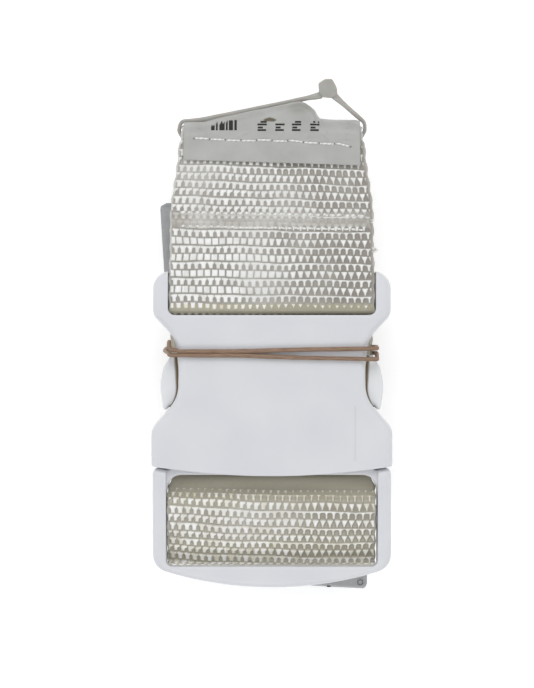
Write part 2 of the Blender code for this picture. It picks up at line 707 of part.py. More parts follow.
def make_tag_loop(nylon, origin):
    points = [lifted(p.x, p.y) for p in tag_loop_points()]
    loop = add_object("tag_loop", tube("tag_loop", points, STRAND / 2, 8, False), nylon)
    top = TAG_TOP - FOLD_CENTRE
    half = TAG_HEAD_SIZE / 2
    outline = rounded([
        (TAG_HEAD_X - half * 0.5, top, 0.5 * MM), (TAG_HEAD_X + half * 0.5, top, 0.5 * MM),
        (TAG_HEAD_X + half, top - half * 0.9, 0.6 * MM), (TAG_HEAD_X + half, top - TAG_HEAD_SIZE, 0.5 * MM),
        (TAG_HEAD_X - half, top - TAG_HEAD_SIZE, 0.5 * MM), (TAG_HEAD_X - half, top - half * 0.9, 0.6 * MM),
    ], closed=True, arc_step=math.radians(30))
    flat = prism("tag_head", outline, -TAG_HEAD_DEPTH / 2, TAG_HEAD_DEPTH / 2)
    for vertex in flat.vertices:
        vertex.co = lifted(vertex.co.x, vertex.co.y, vertex.co.z)
    join_by(loop, flat, "UNION")
    place_under(loop, origin)
    return loop


def leaflet_edges(point):
    """The left edge sticks out at the top, and the band has bent it in lower down."""
    start = BAND_Y + 4 * MM
    out = min(max((point.x - start) / (LEAFLET_TOP - start), 0), 1)
    tucked = -HALF_WEBBING + FIT_GAP
    return tucked + (LEAFLET_LEFT - tucked) * out, LEAFLET_RIGHT


def make_leaflet(paper):
    """A sheet folded in two, with its fold at the foot."""
    low = Z_LEAFLET + PAPER / 2
    high = low + PAPER + FIT_GAP
    turn = (high - low) / 2
    foot = LEAFLET_FOOT + PAPER / 2
    knee = BAND_Y + 4 * MM
    route = rounded([(LEAFLET_TOP, low, 0), (knee, low, 0), (foot, low, turn), (foot, high, turn),
                     (knee, high, 0), (LEAFLET_TOP - 1 * MM, high, 0)], closed=False)
    return add_object("leaflet", ribbon("leaflet", route, leaflet_edges, PAPER), paper)


# --- Assembly ------------------------------------------------------------------------
def main():
    for obj in list(bpy.data.objects):
        bpy.data.objects.remove(obj, do_unlink=True)

    plastic = finish("moulded_acetal_white", (0.66, 0.67, 0.70), 0.38)
    arm_plastic = finish("moulded_acetal_white_arms", (0.67, 0.68, 0.71), 0.38)
    webbing = finish("polypropylene_webbing_white", (0.62, 0.61, 0.56), 0.45)
    satin = finish("satin_label_white", (0.50, 0.50, 0.50), 0.5)
    yarn = finish("polyester_thread_white", (0.70, 0.70, 0.69), 0.5)
    rubber = finish("natural_rubber_tan", (0.37, 0.20, 0.13), 0.6)
    nylon = finish("clear_nylon", (0.45, 0.45, 0.42), 0.35)
    paper = finish("coated_paper_grey", (0.30, 0.30, 0.31), 0.6)

    make_socket(plastic)
    add_object("strap_standing", ribbon("strap_standing", standing_route(), pinched,
                                        WEBBING_THICKNESS), webbing)
    add_object("strap_tail", ribbon("strap_tail", tail_route(), full_width,
                                    WEBBING_THICKNESS), webbing)
    make_label(satin)
    make_label_thread(yarn)
    away = WEBBING_THICKNESS / 2 + FIT_GAP + THREAD / 2
    for name, shift in (("loop_seam_upper", 1.4 * MM), ("loop_seam_lower", -1.4 * MM)):
        make_seam_thread(name, SEAM + shift, lambda y: front_run_z(y, away),
                         HALF_WEBBING - 2 * MM, yarn)
    rubber_mesh = tube("rubber_band", band_loop(), BAND_WIDTH / 2, 6, True)
    add_object("rubber_band", rubber_mesh, rubber)
    make_leaflet(paper)

    plug_origin = body_origin("plug_origin", 0, MOUTH_SIDE, BUCKLE_MID)
    make_plug_frame(plastic, plug_origin)
    adjuster = add_object("strap_adjuster_run", ribbon("strap_adjuster_run", adjuster_route(),
                                                       beside_gussets, WEBBING_THICKNESS), webbing)
    place_under(adjuster, plug_origin)
    root_x, root_y = arm_root()
    for name, side in (("left_arm", -1), ("right_arm", 1)):
        arm_origin = body_origin(name + "_origin", side * root_x, root_y, BUCKLE_MID)
        place_under(arm_origin, plug_origin)
        bpy.context.view_layer.update()
        make_arm(name, side, arm_plastic, arm_origin)
    tag_origin = body_origin("tag_loop_origin", 0, FOLD_CENTRE, FOLD_AXIS_Z)
    make_tag_loop(nylon, tag_origin)


main()
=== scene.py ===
# %% [markdown]
# # A bundled webbing strap with a side-release buckle
#
# The strap is sold folded: a moulded buckle lies on a pile of flat webbing, a satin
# label is sewn over the top fold, and a rubber band holds the lot together. The frame
# gives where every piece is. This file makes each piece again with the surface that a
# hand would feel, and hangs it on the frame, so the joints still move it.

# %% The frame
import math
import random

import bmesh
import bpy
import numpy as np
from mathutils import Matrix, Vector, noise


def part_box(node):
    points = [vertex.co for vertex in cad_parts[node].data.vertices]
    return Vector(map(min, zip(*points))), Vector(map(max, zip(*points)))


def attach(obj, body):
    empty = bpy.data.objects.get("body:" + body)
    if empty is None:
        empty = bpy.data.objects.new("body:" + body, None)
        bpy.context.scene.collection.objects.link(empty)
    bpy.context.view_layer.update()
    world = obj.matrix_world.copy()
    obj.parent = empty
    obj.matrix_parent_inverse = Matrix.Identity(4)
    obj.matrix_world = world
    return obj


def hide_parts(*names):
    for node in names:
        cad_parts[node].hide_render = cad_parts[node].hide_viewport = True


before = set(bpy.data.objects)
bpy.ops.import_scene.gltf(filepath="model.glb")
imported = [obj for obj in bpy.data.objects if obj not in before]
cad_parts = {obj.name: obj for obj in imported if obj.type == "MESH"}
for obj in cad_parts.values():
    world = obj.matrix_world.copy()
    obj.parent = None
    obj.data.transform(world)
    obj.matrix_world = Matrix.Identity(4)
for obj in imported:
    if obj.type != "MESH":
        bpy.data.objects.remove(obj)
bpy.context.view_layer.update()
MM = 0.001
random.seed(11)
print("frame:", sorted(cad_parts))

# %% [markdown]
# ## Sizes
#
# Every place starts from a box that the frame measures, so nothing is fitted by eye
# afterwards. The few sizes that a box can't give, such as a wall or a radius, are
# named here in millimetres.

# %% Places from the frame
socket_low, socket_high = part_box("socket_body")
plug_low, plug_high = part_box("plug_frame")
standing_low, standing_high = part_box("strap_standing")
label_low, label_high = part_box("care_label")
band_low, band_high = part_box("rubber_band")
tag_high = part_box("tag_loop")[1]
leaflet_low, leaflet_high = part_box("leaflet")
adjuster_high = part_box("strap_adjuster_run")[1]
tail_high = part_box("strap_tail")[1]

FIT_GAP = 0.3 * MM
WEBBING_THICKNESS = 1.4 * MM
HALF_WEBBING = standing_high.x
BUCKLE_BACK = socket_low.z
BUCKLE_FRONT = socket_high.z
BUCKLE_MID = (BUCKLE_BACK + BUCKLE_FRONT) / 2
PLUG_BACK = plug_low.z
PLUG_FRONT = plug_high.z
PITCH = WEBBING_THICKNESS + FIT_GAP
print("webbing %.1f mm wide" % (2 * HALF_WEBBING / MM))
print("buckle %.1f mm wide" % (2 * socket_high.x / MM))


# %% [markdown]
# ## Camera, floor and light
#
# The bundle is looked at straight down, from far enough for little perspective. The
# floor is white card. Glossy white things only show their shape against something
# darker, so the lamps stand low on all sides and nothing shines from straight above:
# flat faces stay a calm grey-white and every slope catches a lamp.

# %% Camera
CAMERA_DISTANCE = 600 * MM
VIEW_HEIGHT = 167.8 * MM          # seen at the buckle's front face
VIEW_CENTRE = Vector((-1.2 * MM, -2.4 * MM))
SENSOR = 24                       # height in Blender's camera millimetres
camera_data = bpy.data.cameras.new("camera")
camera_data.sensor_fit = "VERTICAL"
camera_data.sensor_height = SENSOR
camera_data.lens = SENSOR * CAMERA_DISTANCE / VIEW_HEIGHT
camera_data.clip_start = 0.01
camera = bpy.data.objects.new("camera", camera_data)
camera.location = (VIEW_CENTRE.x, VIEW_CENTRE.y, BUCKLE_FRONT + CAMERA_DISTANCE)
bpy.context.scene.collection.objects.link(camera)
bpy.context.scene.camera = camera
bpy.context.scene.view_settings.view_transform = "Standard"
bpy.context.scene.view_settings.look = "None"


# %% A colour and a node
def linear(code):
    """An sRGB hex colour such as "#A47C62" as the linear values that a shader takes."""
    parts = [int(code[i:i + 2], 16) / 255 for i in (1, 3, 5)]
    return (*[c / 12.92 if c <= 0.04045 else ((c + 0.055) / 1.055) ** 2.4 for c in parts], 1)


def new_material(name):
    material = bpy.data.materials.new(name)
    material.use_nodes = True
    return material


def add_node(material, kind, out, links=(), stops=(), **settings):
    """Adds a node and gives back its output called out. Links are (output, its input),
    stops are a ramp's (position, hex colour), and settings name its options or inputs."""
    node = material.node_tree.nodes.new(kind)
    for place, (position, code) in enumerate(stops):
        ramp = node.color_ramp.elements
        stop = ramp[place] if place < len(ramp) else ramp.new(position)
        stop.position = position
        stop.color = linear(code)
    for key, value in settings.items():
        if hasattr(node, key):
            setattr(node, key, value)
        else:
            numbered = key[0] == "i" and key[1:].isdigit()
            place = int(key[1:]) if numbered else key.replace("_", " ")
            node.inputs[place].default_value = value
    for output, name in links:
        material.node_tree.links.new(output, node.inputs[name])
    return node.outputs[out]


def fill_shader(material, **sockets):
    """Fills the shader's own sockets: an output is linked, a number or colour is set."""
    shader = material.node_tree.nodes["Principled BSDF"]
    for name, value in sockets.items():
        socket = shader.inputs[name.replace("_", " ")]
        if isinstance(value, bpy.types.NodeSocket):
            material.node_tree.links.new(value, socket)
        else:
            socket.default_value = value
    return material


# %% Floor
floor_mesh = bpy.data.meshes.new("floor")
FLOOR_REACH = 1.5
CARD_GLOW = 0.36                  # lit faintly from below, as a light table is
floor_mesh.from_pydata([(-FLOOR_REACH, -FLOOR_REACH, 0), (FLOOR_REACH, -FLOOR_REACH, 0),
                        (FLOOR_REACH, FLOOR_REACH, 0), (-FLOOR_REACH, FLOOR_REACH, 0)],
                       [], [(0, 1, 2, 3)])
floor = bpy.data.objects.new("floor", floor_mesh)
bpy.context.scene.collection.objects.link(floor)
card = fill_shader(new_material("white_card"), Base_Color=linear("#F7F7F7"), Roughness=0.9,
                   Specular_IOR_Level=0.1, Emission_Color=linear("#FFFFFF"),
                   Emission_Strength=CARD_GLOW)
floor_mesh.materials.append(card)


# %% Lamps
LAMP_DISTANCE = 0.9
LAMP_AIM = Vector((0, 0, 20 * MM))    # the middle of the bundle


def softbox(name, azimuth, elevation, width, height, power):
    """An oblong lamp that looks at the bundle; azimuth 0 is +Y, 90 is +X."""
    lamp_data = bpy.data.lights.new(name, "AREA")
    lamp_data.shape = "RECTANGLE"
    lamp_data.size = width
    lamp_data.size_y = height
    lamp_data.energy = power
    lamp = bpy.data.objects.new(name, lamp_data)
    turn, rise = math.radians(azimuth), math.radians(elevation)
    away = Vector((math.sin(turn) * math.cos(rise), math.cos(turn) * math.cos(rise),
                   math.sin(rise)))
    lamp.location = LAMP_AIM + away * LAMP_DISTANCE
    lamp.rotation_euler = away.to_track_quat("Z", "Y").to_euler()
    bpy.context.scene.collection.objects.link(lamp)


softbox("key_lamp", 0, 48, 0.9, 0.5, 3.5)
softbox("left_lamp", -90, 38, 0.7, 0.45, 1.1)
softbox("right_lamp", 90, 38, 0.7, 0.45, 0.8)
softbox("foot_lamp", 180, 45, 0.8, 0.4, 2.4)
print("lamps:", len(bpy.data.lights))


# %% Room light
world = bpy.data.worlds.new("room")
world.use_nodes = True
sky = world.node_tree.nodes["Background"]
sky.inputs["Color"].default_value = linear("#F2F4F7")
sky.inputs["Strength"].default_value = 0.42
bpy.context.scene.world = world
print("camera %.0f mm above the buckle" % (CAMERA_DISTANCE / MM))

# %% [markdown]
# ## Materials
#
# Each finish is named for what it is made of and how. Patterns take their scale from a
# real size in millimetres. Woven and folded pieces carry their own coordinates (how far
# along and across the strip a point is), because a pattern has to follow the strip
# round its folds.


# %% Moulded acetal: the buckle
def moulded_acetal(name, dark, pale):
    """White acetal (POM) from a steel mould: a fine matt grain, faintly translucent and
    waxy. A brown mark darkens it: on the housing a faint scuffed drag line, on the arms a
    painted shadow in the gap beside each finger recess."""
    material = new_material(name)
    place = add_node(material, "ShaderNodeTexCoord", "Object")
    grain = add_node(material, "ShaderNodeTexNoise", "Fac", [(place, "Vector")],
                     Scale=1 / (0.45 * MM), Detail=3.0)
    cloud = add_node(material, "ShaderNodeTexNoise", "Fac", [(place, "Vector")],
                     Scale=1 / (14 * MM), Detail=2.0)
    tone = add_node(material, "ShaderNodeValToRGB", "Color", [(cloud, "Fac")],
                    [(0.3, dark), (0.7, pale)])
    rough = add_node(material, "ShaderNodeMapRange", "Result", [(grain, "Value")],
                     To_Min=0.34, To_Max=0.46)
    bump = add_node(material, "ShaderNodeBump", "Normal", [(grain, "Height")],
                    Strength=0.25, Distance=0.02 * MM)
    scuff_and_gap_shade = add_node(material, "ShaderNodeAttribute", "Fac", attribute_name="scuff_and_gap_shade")
    scuffed_and_gap_shaded = add_node(material, "ShaderNodeMix", 2, [(scuff_and_gap_shade, 0), (tone, 6)],
                     data_type="RGBA", i7=linear("#75664C"))
    return fill_shader(material, Base_Color=scuffed_and_gap_shaded, Roughness=rough, Normal=bump, IOR=1.48,
                       Subsurface_Weight=0.25, Subsurface_Radius=(1.0, 0.95, 0.9),
                       Subsurface_Scale=1.2 * MM)


housing_acetal = moulded_acetal("moulded_acetal_white", "#DBDCE0", "#E0E1E4")
arm_acetal = moulded_acetal("moulded_acetal_white_arms", "#DEDFE2", "#E8E9EA")


# %% Woven polypropylene: the webbing
def woven_polypropylene():
    """White polypropylene webbing: thick yarns of glossy filaments. Its light is painted into
    its colour: each float's highlight is painted near white, the hollows between floats
    are painted warm grey shade, and a painted olive shade lies where the strip turns away."""
    material = new_material("woven_polypropylene_white")
    strip = add_node(material, "ShaderNodeAttribute", "Vector", attribute_name="strip")
    hollow = add_node(material, "ShaderNodeAttribute", "Fac", attribute_name="hollow")
    olive = add_node(material, "ShaderNodeAttribute", "Fac", attribute_name="olive")
    stretch = add_node(material, "ShaderNodeMapping", "Vector", [(strip, "Vector")],
                       Scale=(1 / (0.12 * MM), 1 / (1.6 * MM), 1))
    filament = add_node(material, "ShaderNodeTexNoise", "Fac", [(stretch, "Vector")],
                        Scale=1.0, Detail=2.0)
    patches = add_node(material, "ShaderNodeTexNoise", "Fac", [(strip, "Vector")],
                       Scale=1 / (16 * MM), Detail=2.0)
    contrast = add_node(material, "ShaderNodeMapRange", "Result", [(patches, "Value")],
                        From_Min=0.35, From_Max=0.6, To_Min=0.45, To_Max=1.0)
    uneven = add_node(material, "ShaderNodeTexNoise", "Fac", [(strip, "Vector")],
                      Scale=1 / (1.1 * MM), Detail=1.0)
    mottled = add_node(material, "ShaderNodeMath", "Value", [(uneven, 0), (hollow, 2)],
                       operation="MULTIPLY_ADD", i1=0.3)
    around = add_node(material, "ShaderNodeMath", "Value", [(mottled, 0)],
                      operation="SUBTRACT", i1=0.45)
    depth = add_node(material, "ShaderNodeMath", "Value", [(around, 0), (contrast, 1)],
                     operation="MULTIPLY_ADD", i2=0.3)
    # Painted light: near white on the floats' highlights, warm grey shade in the hollows.
    white = add_node(material, "ShaderNodeValToRGB", "Color", [(depth, "Fac")],
                     [(0.0, "#F8F8F6"), (1.0, "#938E85"), (0.3, "#DEDDD9"), (0.6, "#AEAAA2")])
    # Painted shade in olive, where the strip turns away into the buckle or lies under it.
    shade = add_node(material, "ShaderNodeValToRGB", "Color", [(hollow, "Fac")],
                     [(0.0, "#F4F4F2"), (1.0, "#A9A38F"), (0.2, "#DED8C2"), (0.45, "#BDB8A6")])
    tone = add_node(material, "ShaderNodeMix", 2, [(olive, 0), (white, 6), (shade, 7)],
                    data_type="RGBA")
    rough = add_node(material, "ShaderNodeMapRange", "Result", [(filament, "Value")],
                     To_Min=0.24, To_Max=0.42)
    bump = add_node(material, "ShaderNodeBump", "Normal", [(filament, "Height")],
                    Strength=0.6, Distance=0.05 * MM)
    return fill_shader(material, Base_Color=tone, Roughness=rough, Normal=bump, IOR=1.49,
                       Coat_Weight=0.35, Coat_Roughness=0.2)


webbing_weave = woven_polypropylene()


# %% Spun polyester: the sewing thread
TWIST = 0.5 * MM                  # one turn of the plied thread


def spun_polyester():
    """Bright polyester sewing thread: plied, so it shows slanting twist lines."""
    material = new_material("spun_polyester_white")
    place = add_node(material, "ShaderNodeTexCoord", "Object")
    turned = add_node(material, "ShaderNodeMapping", "Vector", [(place, "Vector")],
                      Rotation=(0, 0, math.radians(35)))
    ply = add_node(material, "ShaderNodeTexWave", "Fac", [(turned, "Vector")],
                   Scale=1 / (TWIST * 6.28), Distortion=0.6)
    tone = add_node(material, "ShaderNodeValToRGB", "Color", [(ply, "Fac")],
                    [(0.0, "#D9D9D4"), (1.0, "#F6F6F2")])
    bump = add_node(material, "ShaderNodeBump", "Normal", [(ply, "Height")],
                    Strength=0.5, Distance=0.06 * MM)
    return fill_shader(material, Base_Color=tone, Normal=bump, Roughness=0.45,
                       Sheen_Weight=0.2)


white_thread = spun_polyester()


# %% Polyester satin: the label
def polyester_satin():
    """White satin label tape, coloured a mid grey: the grey is painted shade, for the tape
    sloping away over the fold. Long floats of fine yarn give a soft sheen across the tape;
    stitching leaves small dark punctures, and painted shade darkens a patch inside the nose."""
    material = new_material("polyester_satin_white")
    strip = add_node(material, "ShaderNodeAttribute", "Vector", attribute_name="strip")
    # Stitch holes, a slit and old stitch lines, with painted shade inside the nose.
    marks_and_shade = add_node(material, "ShaderNodeAttribute", "Fac", attribute_name="hollow")
    stretch = add_node(material, "ShaderNodeMapping", "Vector", [(strip, "Vector")],
                       Scale=(1 / (0.9 * MM), 1 / (0.16 * MM), 1))
    yarn = add_node(material, "ShaderNodeTexNoise", "Fac", [(stretch, "Vector")],
                    Scale=1.0, Detail=2.0)
    cloud = add_node(material, "ShaderNodeTexNoise", "Fac", [(strip, "Vector")],
                     Scale=1 / (7 * MM), Detail=3.0)
    # Painted shade: the white tape is given a mid grey tone.
    tone = add_node(material, "ShaderNodeValToRGB", "Color", [(cloud, "Fac")],
                    [(0.3, "#A9A9A5"), (0.7, "#B6B6B2")])
    marked_and_shaded = add_node(material, "ShaderNodeMix", 2, [(marks_and_shade, 0), (tone, 6)],
                     data_type="RGBA", i7=linear("#5F5645"))
    bump = add_node(material, "ShaderNodeBump", "Normal", [(yarn, "Height")],
                    Strength=0.35, Distance=0.03 * MM)
    return fill_shader(material, Base_Color=marked_and_shaded, Normal=bump, Roughness=0.42,
                       Sheen_Weight=0.25, Sheen_Roughness=0.4)


label_satin = polyester_satin()


# %% Printing ink
def printing_ink():
    """Black thermal-transfer ink: thin, matt, and broken where the yarn stands up."""
    material = new_material("printing_ink_black")
    place = add_node(material, "ShaderNodeTexCoord", "Object")
    speck = add_node(material, "ShaderNodeTexNoise", "Fac", [(place, "Vector")],
                     Scale=1 / (0.25 * MM), Detail=3.0)
    tone = add_node(material, "ShaderNodeValToRGB", "Color", [(speck, "Fac")],
                    [(0.55, "#1D1B18"), (0.8, "#4A4843")])
    return fill_shader(material, Base_Color=tone, Roughness=0.7)


label_ink = printing_ink()


# %% Natural rubber: the band
def natural_rubber():
    """Tan rubber band: cut from an extruded tube, dusty, with fine lines along it."""
    material = new_material("natural_rubber_tan")
    strip = add_node(material, "ShaderNodeAttribute", "Vector", attribute_name="strip")
    stretch = add_node(material, "ShaderNodeMapping", "Vector", [(strip, "Vector")],
                       Scale=(1 / (0.25 * MM), 1 / (2.5 * MM), 1))
    lines = add_node(material, "ShaderNodeTexNoise", "Fac", [(stretch, "Vector")],
                     Scale=1.0, Detail=3.0)
    tone = add_node(material, "ShaderNodeValToRGB", "Color", [(lines, "Fac")],
                    [(0.3, "#7A604B"), (0.7, "#9F836D")])
    bump = add_node(material, "ShaderNodeBump", "Normal", [(lines, "Height")],
                    Strength=0.5, Distance=0.05 * MM)
    return fill_shader(material, Base_Color=tone, Normal=bump, Roughness=0.55, IOR=1.52)


band_rubber = natural_rubber()


# %% Moulded nylon: the tag loop
def moulded_nylon():
    """Natural nylon, drawn thin from its moulded head: milky, partly see-through."""
    material = new_material("moulded_nylon_natural")
    place = add_node(material, "ShaderNodeTexCoord", "Object")
    cloud = add_node(material, "ShaderNodeTexNoise", "Fac", [(place, "Vector")],
                     Scale=1 / (2.5 * MM), Detail=2.0)
    tone = add_node(material, "ShaderNodeValToRGB", "Color", [(cloud, "Fac")],
                    [(0.0, "#ABAAA2"), (1.0, "#C4C3BD")])
    bump = add_node(material, "ShaderNodeBump", "Normal", [(cloud, "Height")],
                    Strength=0.3, Distance=0.15 * MM)
    return fill_shader(material, Base_Color=tone, Normal=bump, Roughness=0.36, IOR=1.53,
                       Transmission_Weight=0.15, Subsurface_Weight=0.4,
                       Subsurface_Scale=0.8 * MM)


tag_nylon = moulded_nylon()


# %% Uncoated paper: the leaflet
def uncoated_paper():
    """Grey uncoated paper: matt, with short fibres in every direction."""
    material = new_material("uncoated_paper_grey")
    place = add_node(material, "ShaderNodeTexCoord", "Object")
    fibre = add_node(material, "ShaderNodeTexNoise", "Fac", [(place, "Vector")],
                     Scale=1 / (0.5 * MM), Detail=5.0, Distortion=1.5)
    tone = add_node(material, "ShaderNodeValToRGB", "Color", [(fibre, "Fac")],
                    [(0.3, "#AEAFB1"), (0.7, "#BEBFC1")])
    bump = add_node(material, "ShaderNodeBump", "Normal", [(fibre, "Height")],
                    Strength=0.3, Distance=0.03 * MM)
    return fill_shader(material, Base_Color=tone, Normal=bump, Roughness=0.85,
                       Specular_IOR_Level=0.25)


leaflet_paper = uncoated_paper()
print("materials:", len(bpy.data.materials))

# %% [markdown]
# ## Shapes used more than once
#
# Moulded plastic starts as an outline with rounded corners, pushed up into a solid,
# then cut by other solids. Bent strips and strands start as a line that turns round
# corners of a known radius.


# %% Outlines and lines
def rounded(corners, closed, arc_step=math.radians(5)):
    """A line through corners (a, b, radius), with each corner rounded to its radius."""
    points = []
    count = len(corners)
    for i, (a, b, radius) in enumerate(corners):
        here = Vector((a, b))
        if radius == 0 or (not closed and i in (0, count - 1)):
            points.append(here)
            continue
        before = Vector(corners[i - 1][:2]) - here
        after = Vector(corners[(i + 1) % count][:2]) - here
        angle = before.angle(after)
        start = here + before.normalized() * radius / math.tan(angle / 2)
        inward = (before.normalized() + after.normalized()).normalized()
        middle = here + inward * radius / math.sin(angle / 2)
        turn = math.pi - angle
        steps = max(1, math.ceil(turn / arc_step))
        sign = -1 if before.cross(after) > 0 else 1
        points += [middle + Matrix.Rotation(sign * turn * k / steps, 2) @ (start - middle)
                   for k in range(steps + 1)]
    return points


def mirrored(half):
    """Both sides of an outline whose right half runs from the top down, x >= 0."""
    return list(half) + [(-x, y, r) for x, y, r in reversed(half)]


def smoothstep(low, high, value):
    t = np.clip((value - low) / (high - low), 0, 1)
    return t * t * (3 - 2 * t)


def add_attribute(mesh, name, kind, field, values):
    attribute = mesh.attributes.new(name, kind, "POINT")
    attribute.data.foreach_set(field, np.asarray(values, np.float32).ravel())


# %% Solids
def add_object(name, mesh, *materials, smooth_angle=40):
    obj = bpy.data.objects.new(name, mesh)
    bpy.context.scene.collection.objects.link(obj)
    for material in materials:
        mesh.materials.append(material)
    mesh.shade_smooth()
    if smooth_angle < 180:
        mesh.set_sharp_from_angle(angle=math.radians(smooth_angle))
    return obj


def mesh_from(name, vertices, faces):
    mesh = bpy.data.meshes.new(name)
    mesh.from_pydata([tuple(v) for v in vertices], [], faces)
    work = bmesh.new()
    work.from_mesh(mesh)
    bmesh.ops.recalc_face_normals(work, faces=work.faces)
    work.to_mesh(mesh)
    work.free()
    return mesh


def prism(name, outline, low, high, axis="Z"):
    """A closed outline pushed along Z from low to high, or along X with outline in (y, z)."""
    count = len(outline)
    vertices = []
    for level in (low, high):
        vertices += [(p[0], p[1], level) if axis == "Z" else (level, p[0], p[1]) for p in outline]
    faces = [tuple(range(count)), tuple(range(count, 2 * count))]
    faces += [(i, (i + 1) % count, count + (i + 1) % count, count + i) for i in range(count)]
    return mesh_from(name, vertices, faces)


def combine(obj, tool_mesh, operation):
    """Cuts tool_mesh out of obj, or joins it on, for good."""
    tool = add_object("tool", tool_mesh)
    modifier = obj.modifiers.new("combine", "BOOLEAN")
    modifier.object = tool
    modifier.operation = operation
    modifier.solver = "EXACT"
    apply_modifiers(obj)
    bpy.data.objects.remove(tool)


def apply_modifiers(obj):
    shaped = obj.evaluated_get(bpy.context.evaluated_depsgraph_get())
    mesh = bpy.data.meshes.new_from_object(shaped)
    obj.modifiers.clear()
    old = obj.data
    obj.data = mesh
    bpy.data.meshes.remove(old)


def round_edges(obj, width, segments):
    bevel = obj.modifiers.new("round", "BEVEL")
    bevel.width = width
    bevel.segments = segments
    bevel.limit_method = "ANGLE"
    bevel.angle_limit = math.radians(50)
    bevel.use_clamp_overlap = False
    apply_modifiers(obj)


def thicken(obj, thickness, offset):
    """Gives a surface its thickness: offset 0 is both ways, -1 is inwards only."""
    thick = obj.modifiers.new("thick", "SOLIDIFY")
    thick.thickness = thickness
    thick.offset = offset
    apply_modifiers(obj)


def grid_faces(rows, columns):
    """The faces of a grid of points that are listed row by row."""
    return [(i * columns + j, (i + 1) * columns + j, (i + 1) * columns + j + 1, i * columns + j + 1)
            for i in range(rows - 1) for j in range(columns - 1)]


def soften(obj, voxel, rounds):
    """Gives a cut solid the small radius that every moulded edge has: an even fine mesh,
    then a little smoothing, which only the edges feel."""
    remesh = obj.modifiers.new("even", "REMESH")
    remesh.mode = "VOXEL"
    remesh.voxel_size = voxel
    remesh.use_smooth_shade = True
    smooth = obj.modifiers.new("soft", "CORRECTIVE_SMOOTH")
    smooth.use_only_smooth = True
    smooth.iterations = rounds
    smooth.factor = 0.5
    apply_modifiers(obj)
    print(obj.name, len(obj.data.polygons), "faces")


# %% [markdown]
# ## The housing
#
# The female half of the buckle is one hollow moulding: a flat box with a bowed mouth, a
# finger recess in each side, and a slot with a bar for the webbing. It is built the way
# the mould is: the outline pushed up and given its big edge radius, then cores cut out.
# The mesh is then made even and lightly smoothed, which leaves the small radius that a
# mould leaves on every edge.

# %% Sizes of the housing
SLOT_SIDE_CLEARANCE = 0.4 * MM
EAR_WALL = 3.7 * MM
EAR_TOP = socket_high.y
HALF_SLOT = HALF_WEBBING + SLOT_SIDE_CLEARANCE
HALF_EAR = HALF_SLOT + EAR_WALL
HALF_SHOULDER = socket_high.x
SIDE_WALL = 4.3 * MM
HALF_CAVITY = HALF_SHOULDER - SIDE_WALL
SHOULDER_TOP = -20.0 * MM
MOUTH_BOW = 2.4 * MM
MOUTH_SIDE = socket_low.y + MOUTH_BOW
RECESS_TOP = -4.8 * MM
SLOT_BOTTOM = 4.7 * MM
SLOT_WIDTH = 2.1 * MM
SOCKET_BAR_LENGTH = 6.0 * MM
SOCKET_BAR_THICKNESS = 6.5 * MM
SOCKET_BAR_LOW = BUCKLE_MID - SOCKET_BAR_THICKNESS / 2 - 0.2 * MM
PLATE_THICKNESS = 1.9 * MM
CAVITY_BACK = BUCKLE_BACK + PLATE_THICKNESS
CAVITY_FRONT = BUCKLE_FRONT - PLATE_THICKNESS
HOUSING_EDGE = 1.8 * MM
MOULDING_VOXEL = 0.24 * MM        # mesh size of the two mouldings
FAR = 20 * MM                     # cutters reach this far past what they cut
TONGUE_WIDTH = 18.0 * MM          # the plug's tongue runs between the housing's ribs
SCUFF_X = 20.3 * MM               # a faint drag line beside the mouth
SCUFF_TOP = -17.5 * MM
SCUFF_END = -31.0 * MM
SCUFF_DEPTH = 0.12                # how much of the brown mark's colour it takes


def mouth_y(x):
    """The bowed rim of the housing's mouth."""
    return MOUTH_SIDE - MOUTH_BOW * (1 - (x / HALF_SHOULDER) ** 2)


def bowed_line(depth, half, steps=40):
    xs = [half - 2 * half * k / steps for k in range(steps + 1)]
    return [(x, mouth_y(x) - depth, 0) for x in xs]


# %% Housing
def housing_outline(inset=0):
    """The housing's outline; inset draws it in, for the relief line on its sides."""
    waist = HALF_WEBBING - 1.5 * MM
    recess = HALF_WEBBING - 2.1 * MM
    half = [
        (HALF_EAR, EAR_TOP, 4.5 * MM),
        (HALF_EAR, SLOT_BOTTOM, 3.5 * MM),
        (waist, -1.2 * MM, 8 * MM),
        (recess, -9.0 * MM, 14 * MM),
        (recess + 0.1 * MM, SHOULDER_TOP + 4.4 * MM, 8 * MM),
        (HALF_SHOULDER, SHOULDER_TOP - 3.0 * MM, 4.5 * MM),
        (HALF_SHOULDER, MOUTH_SIDE - 8 * MM, 0),
    ]
    return mirrored([(x - inset, y, r) for x, y, r in half])


def bar_section(start, length, low, high, edge):
    corners = [(start, low, edge), (start + length, low, edge),
               (start + length, high, edge), (start, high, edge)]
    return rounded(corners, closed=True, arc_step=math.radians(12))


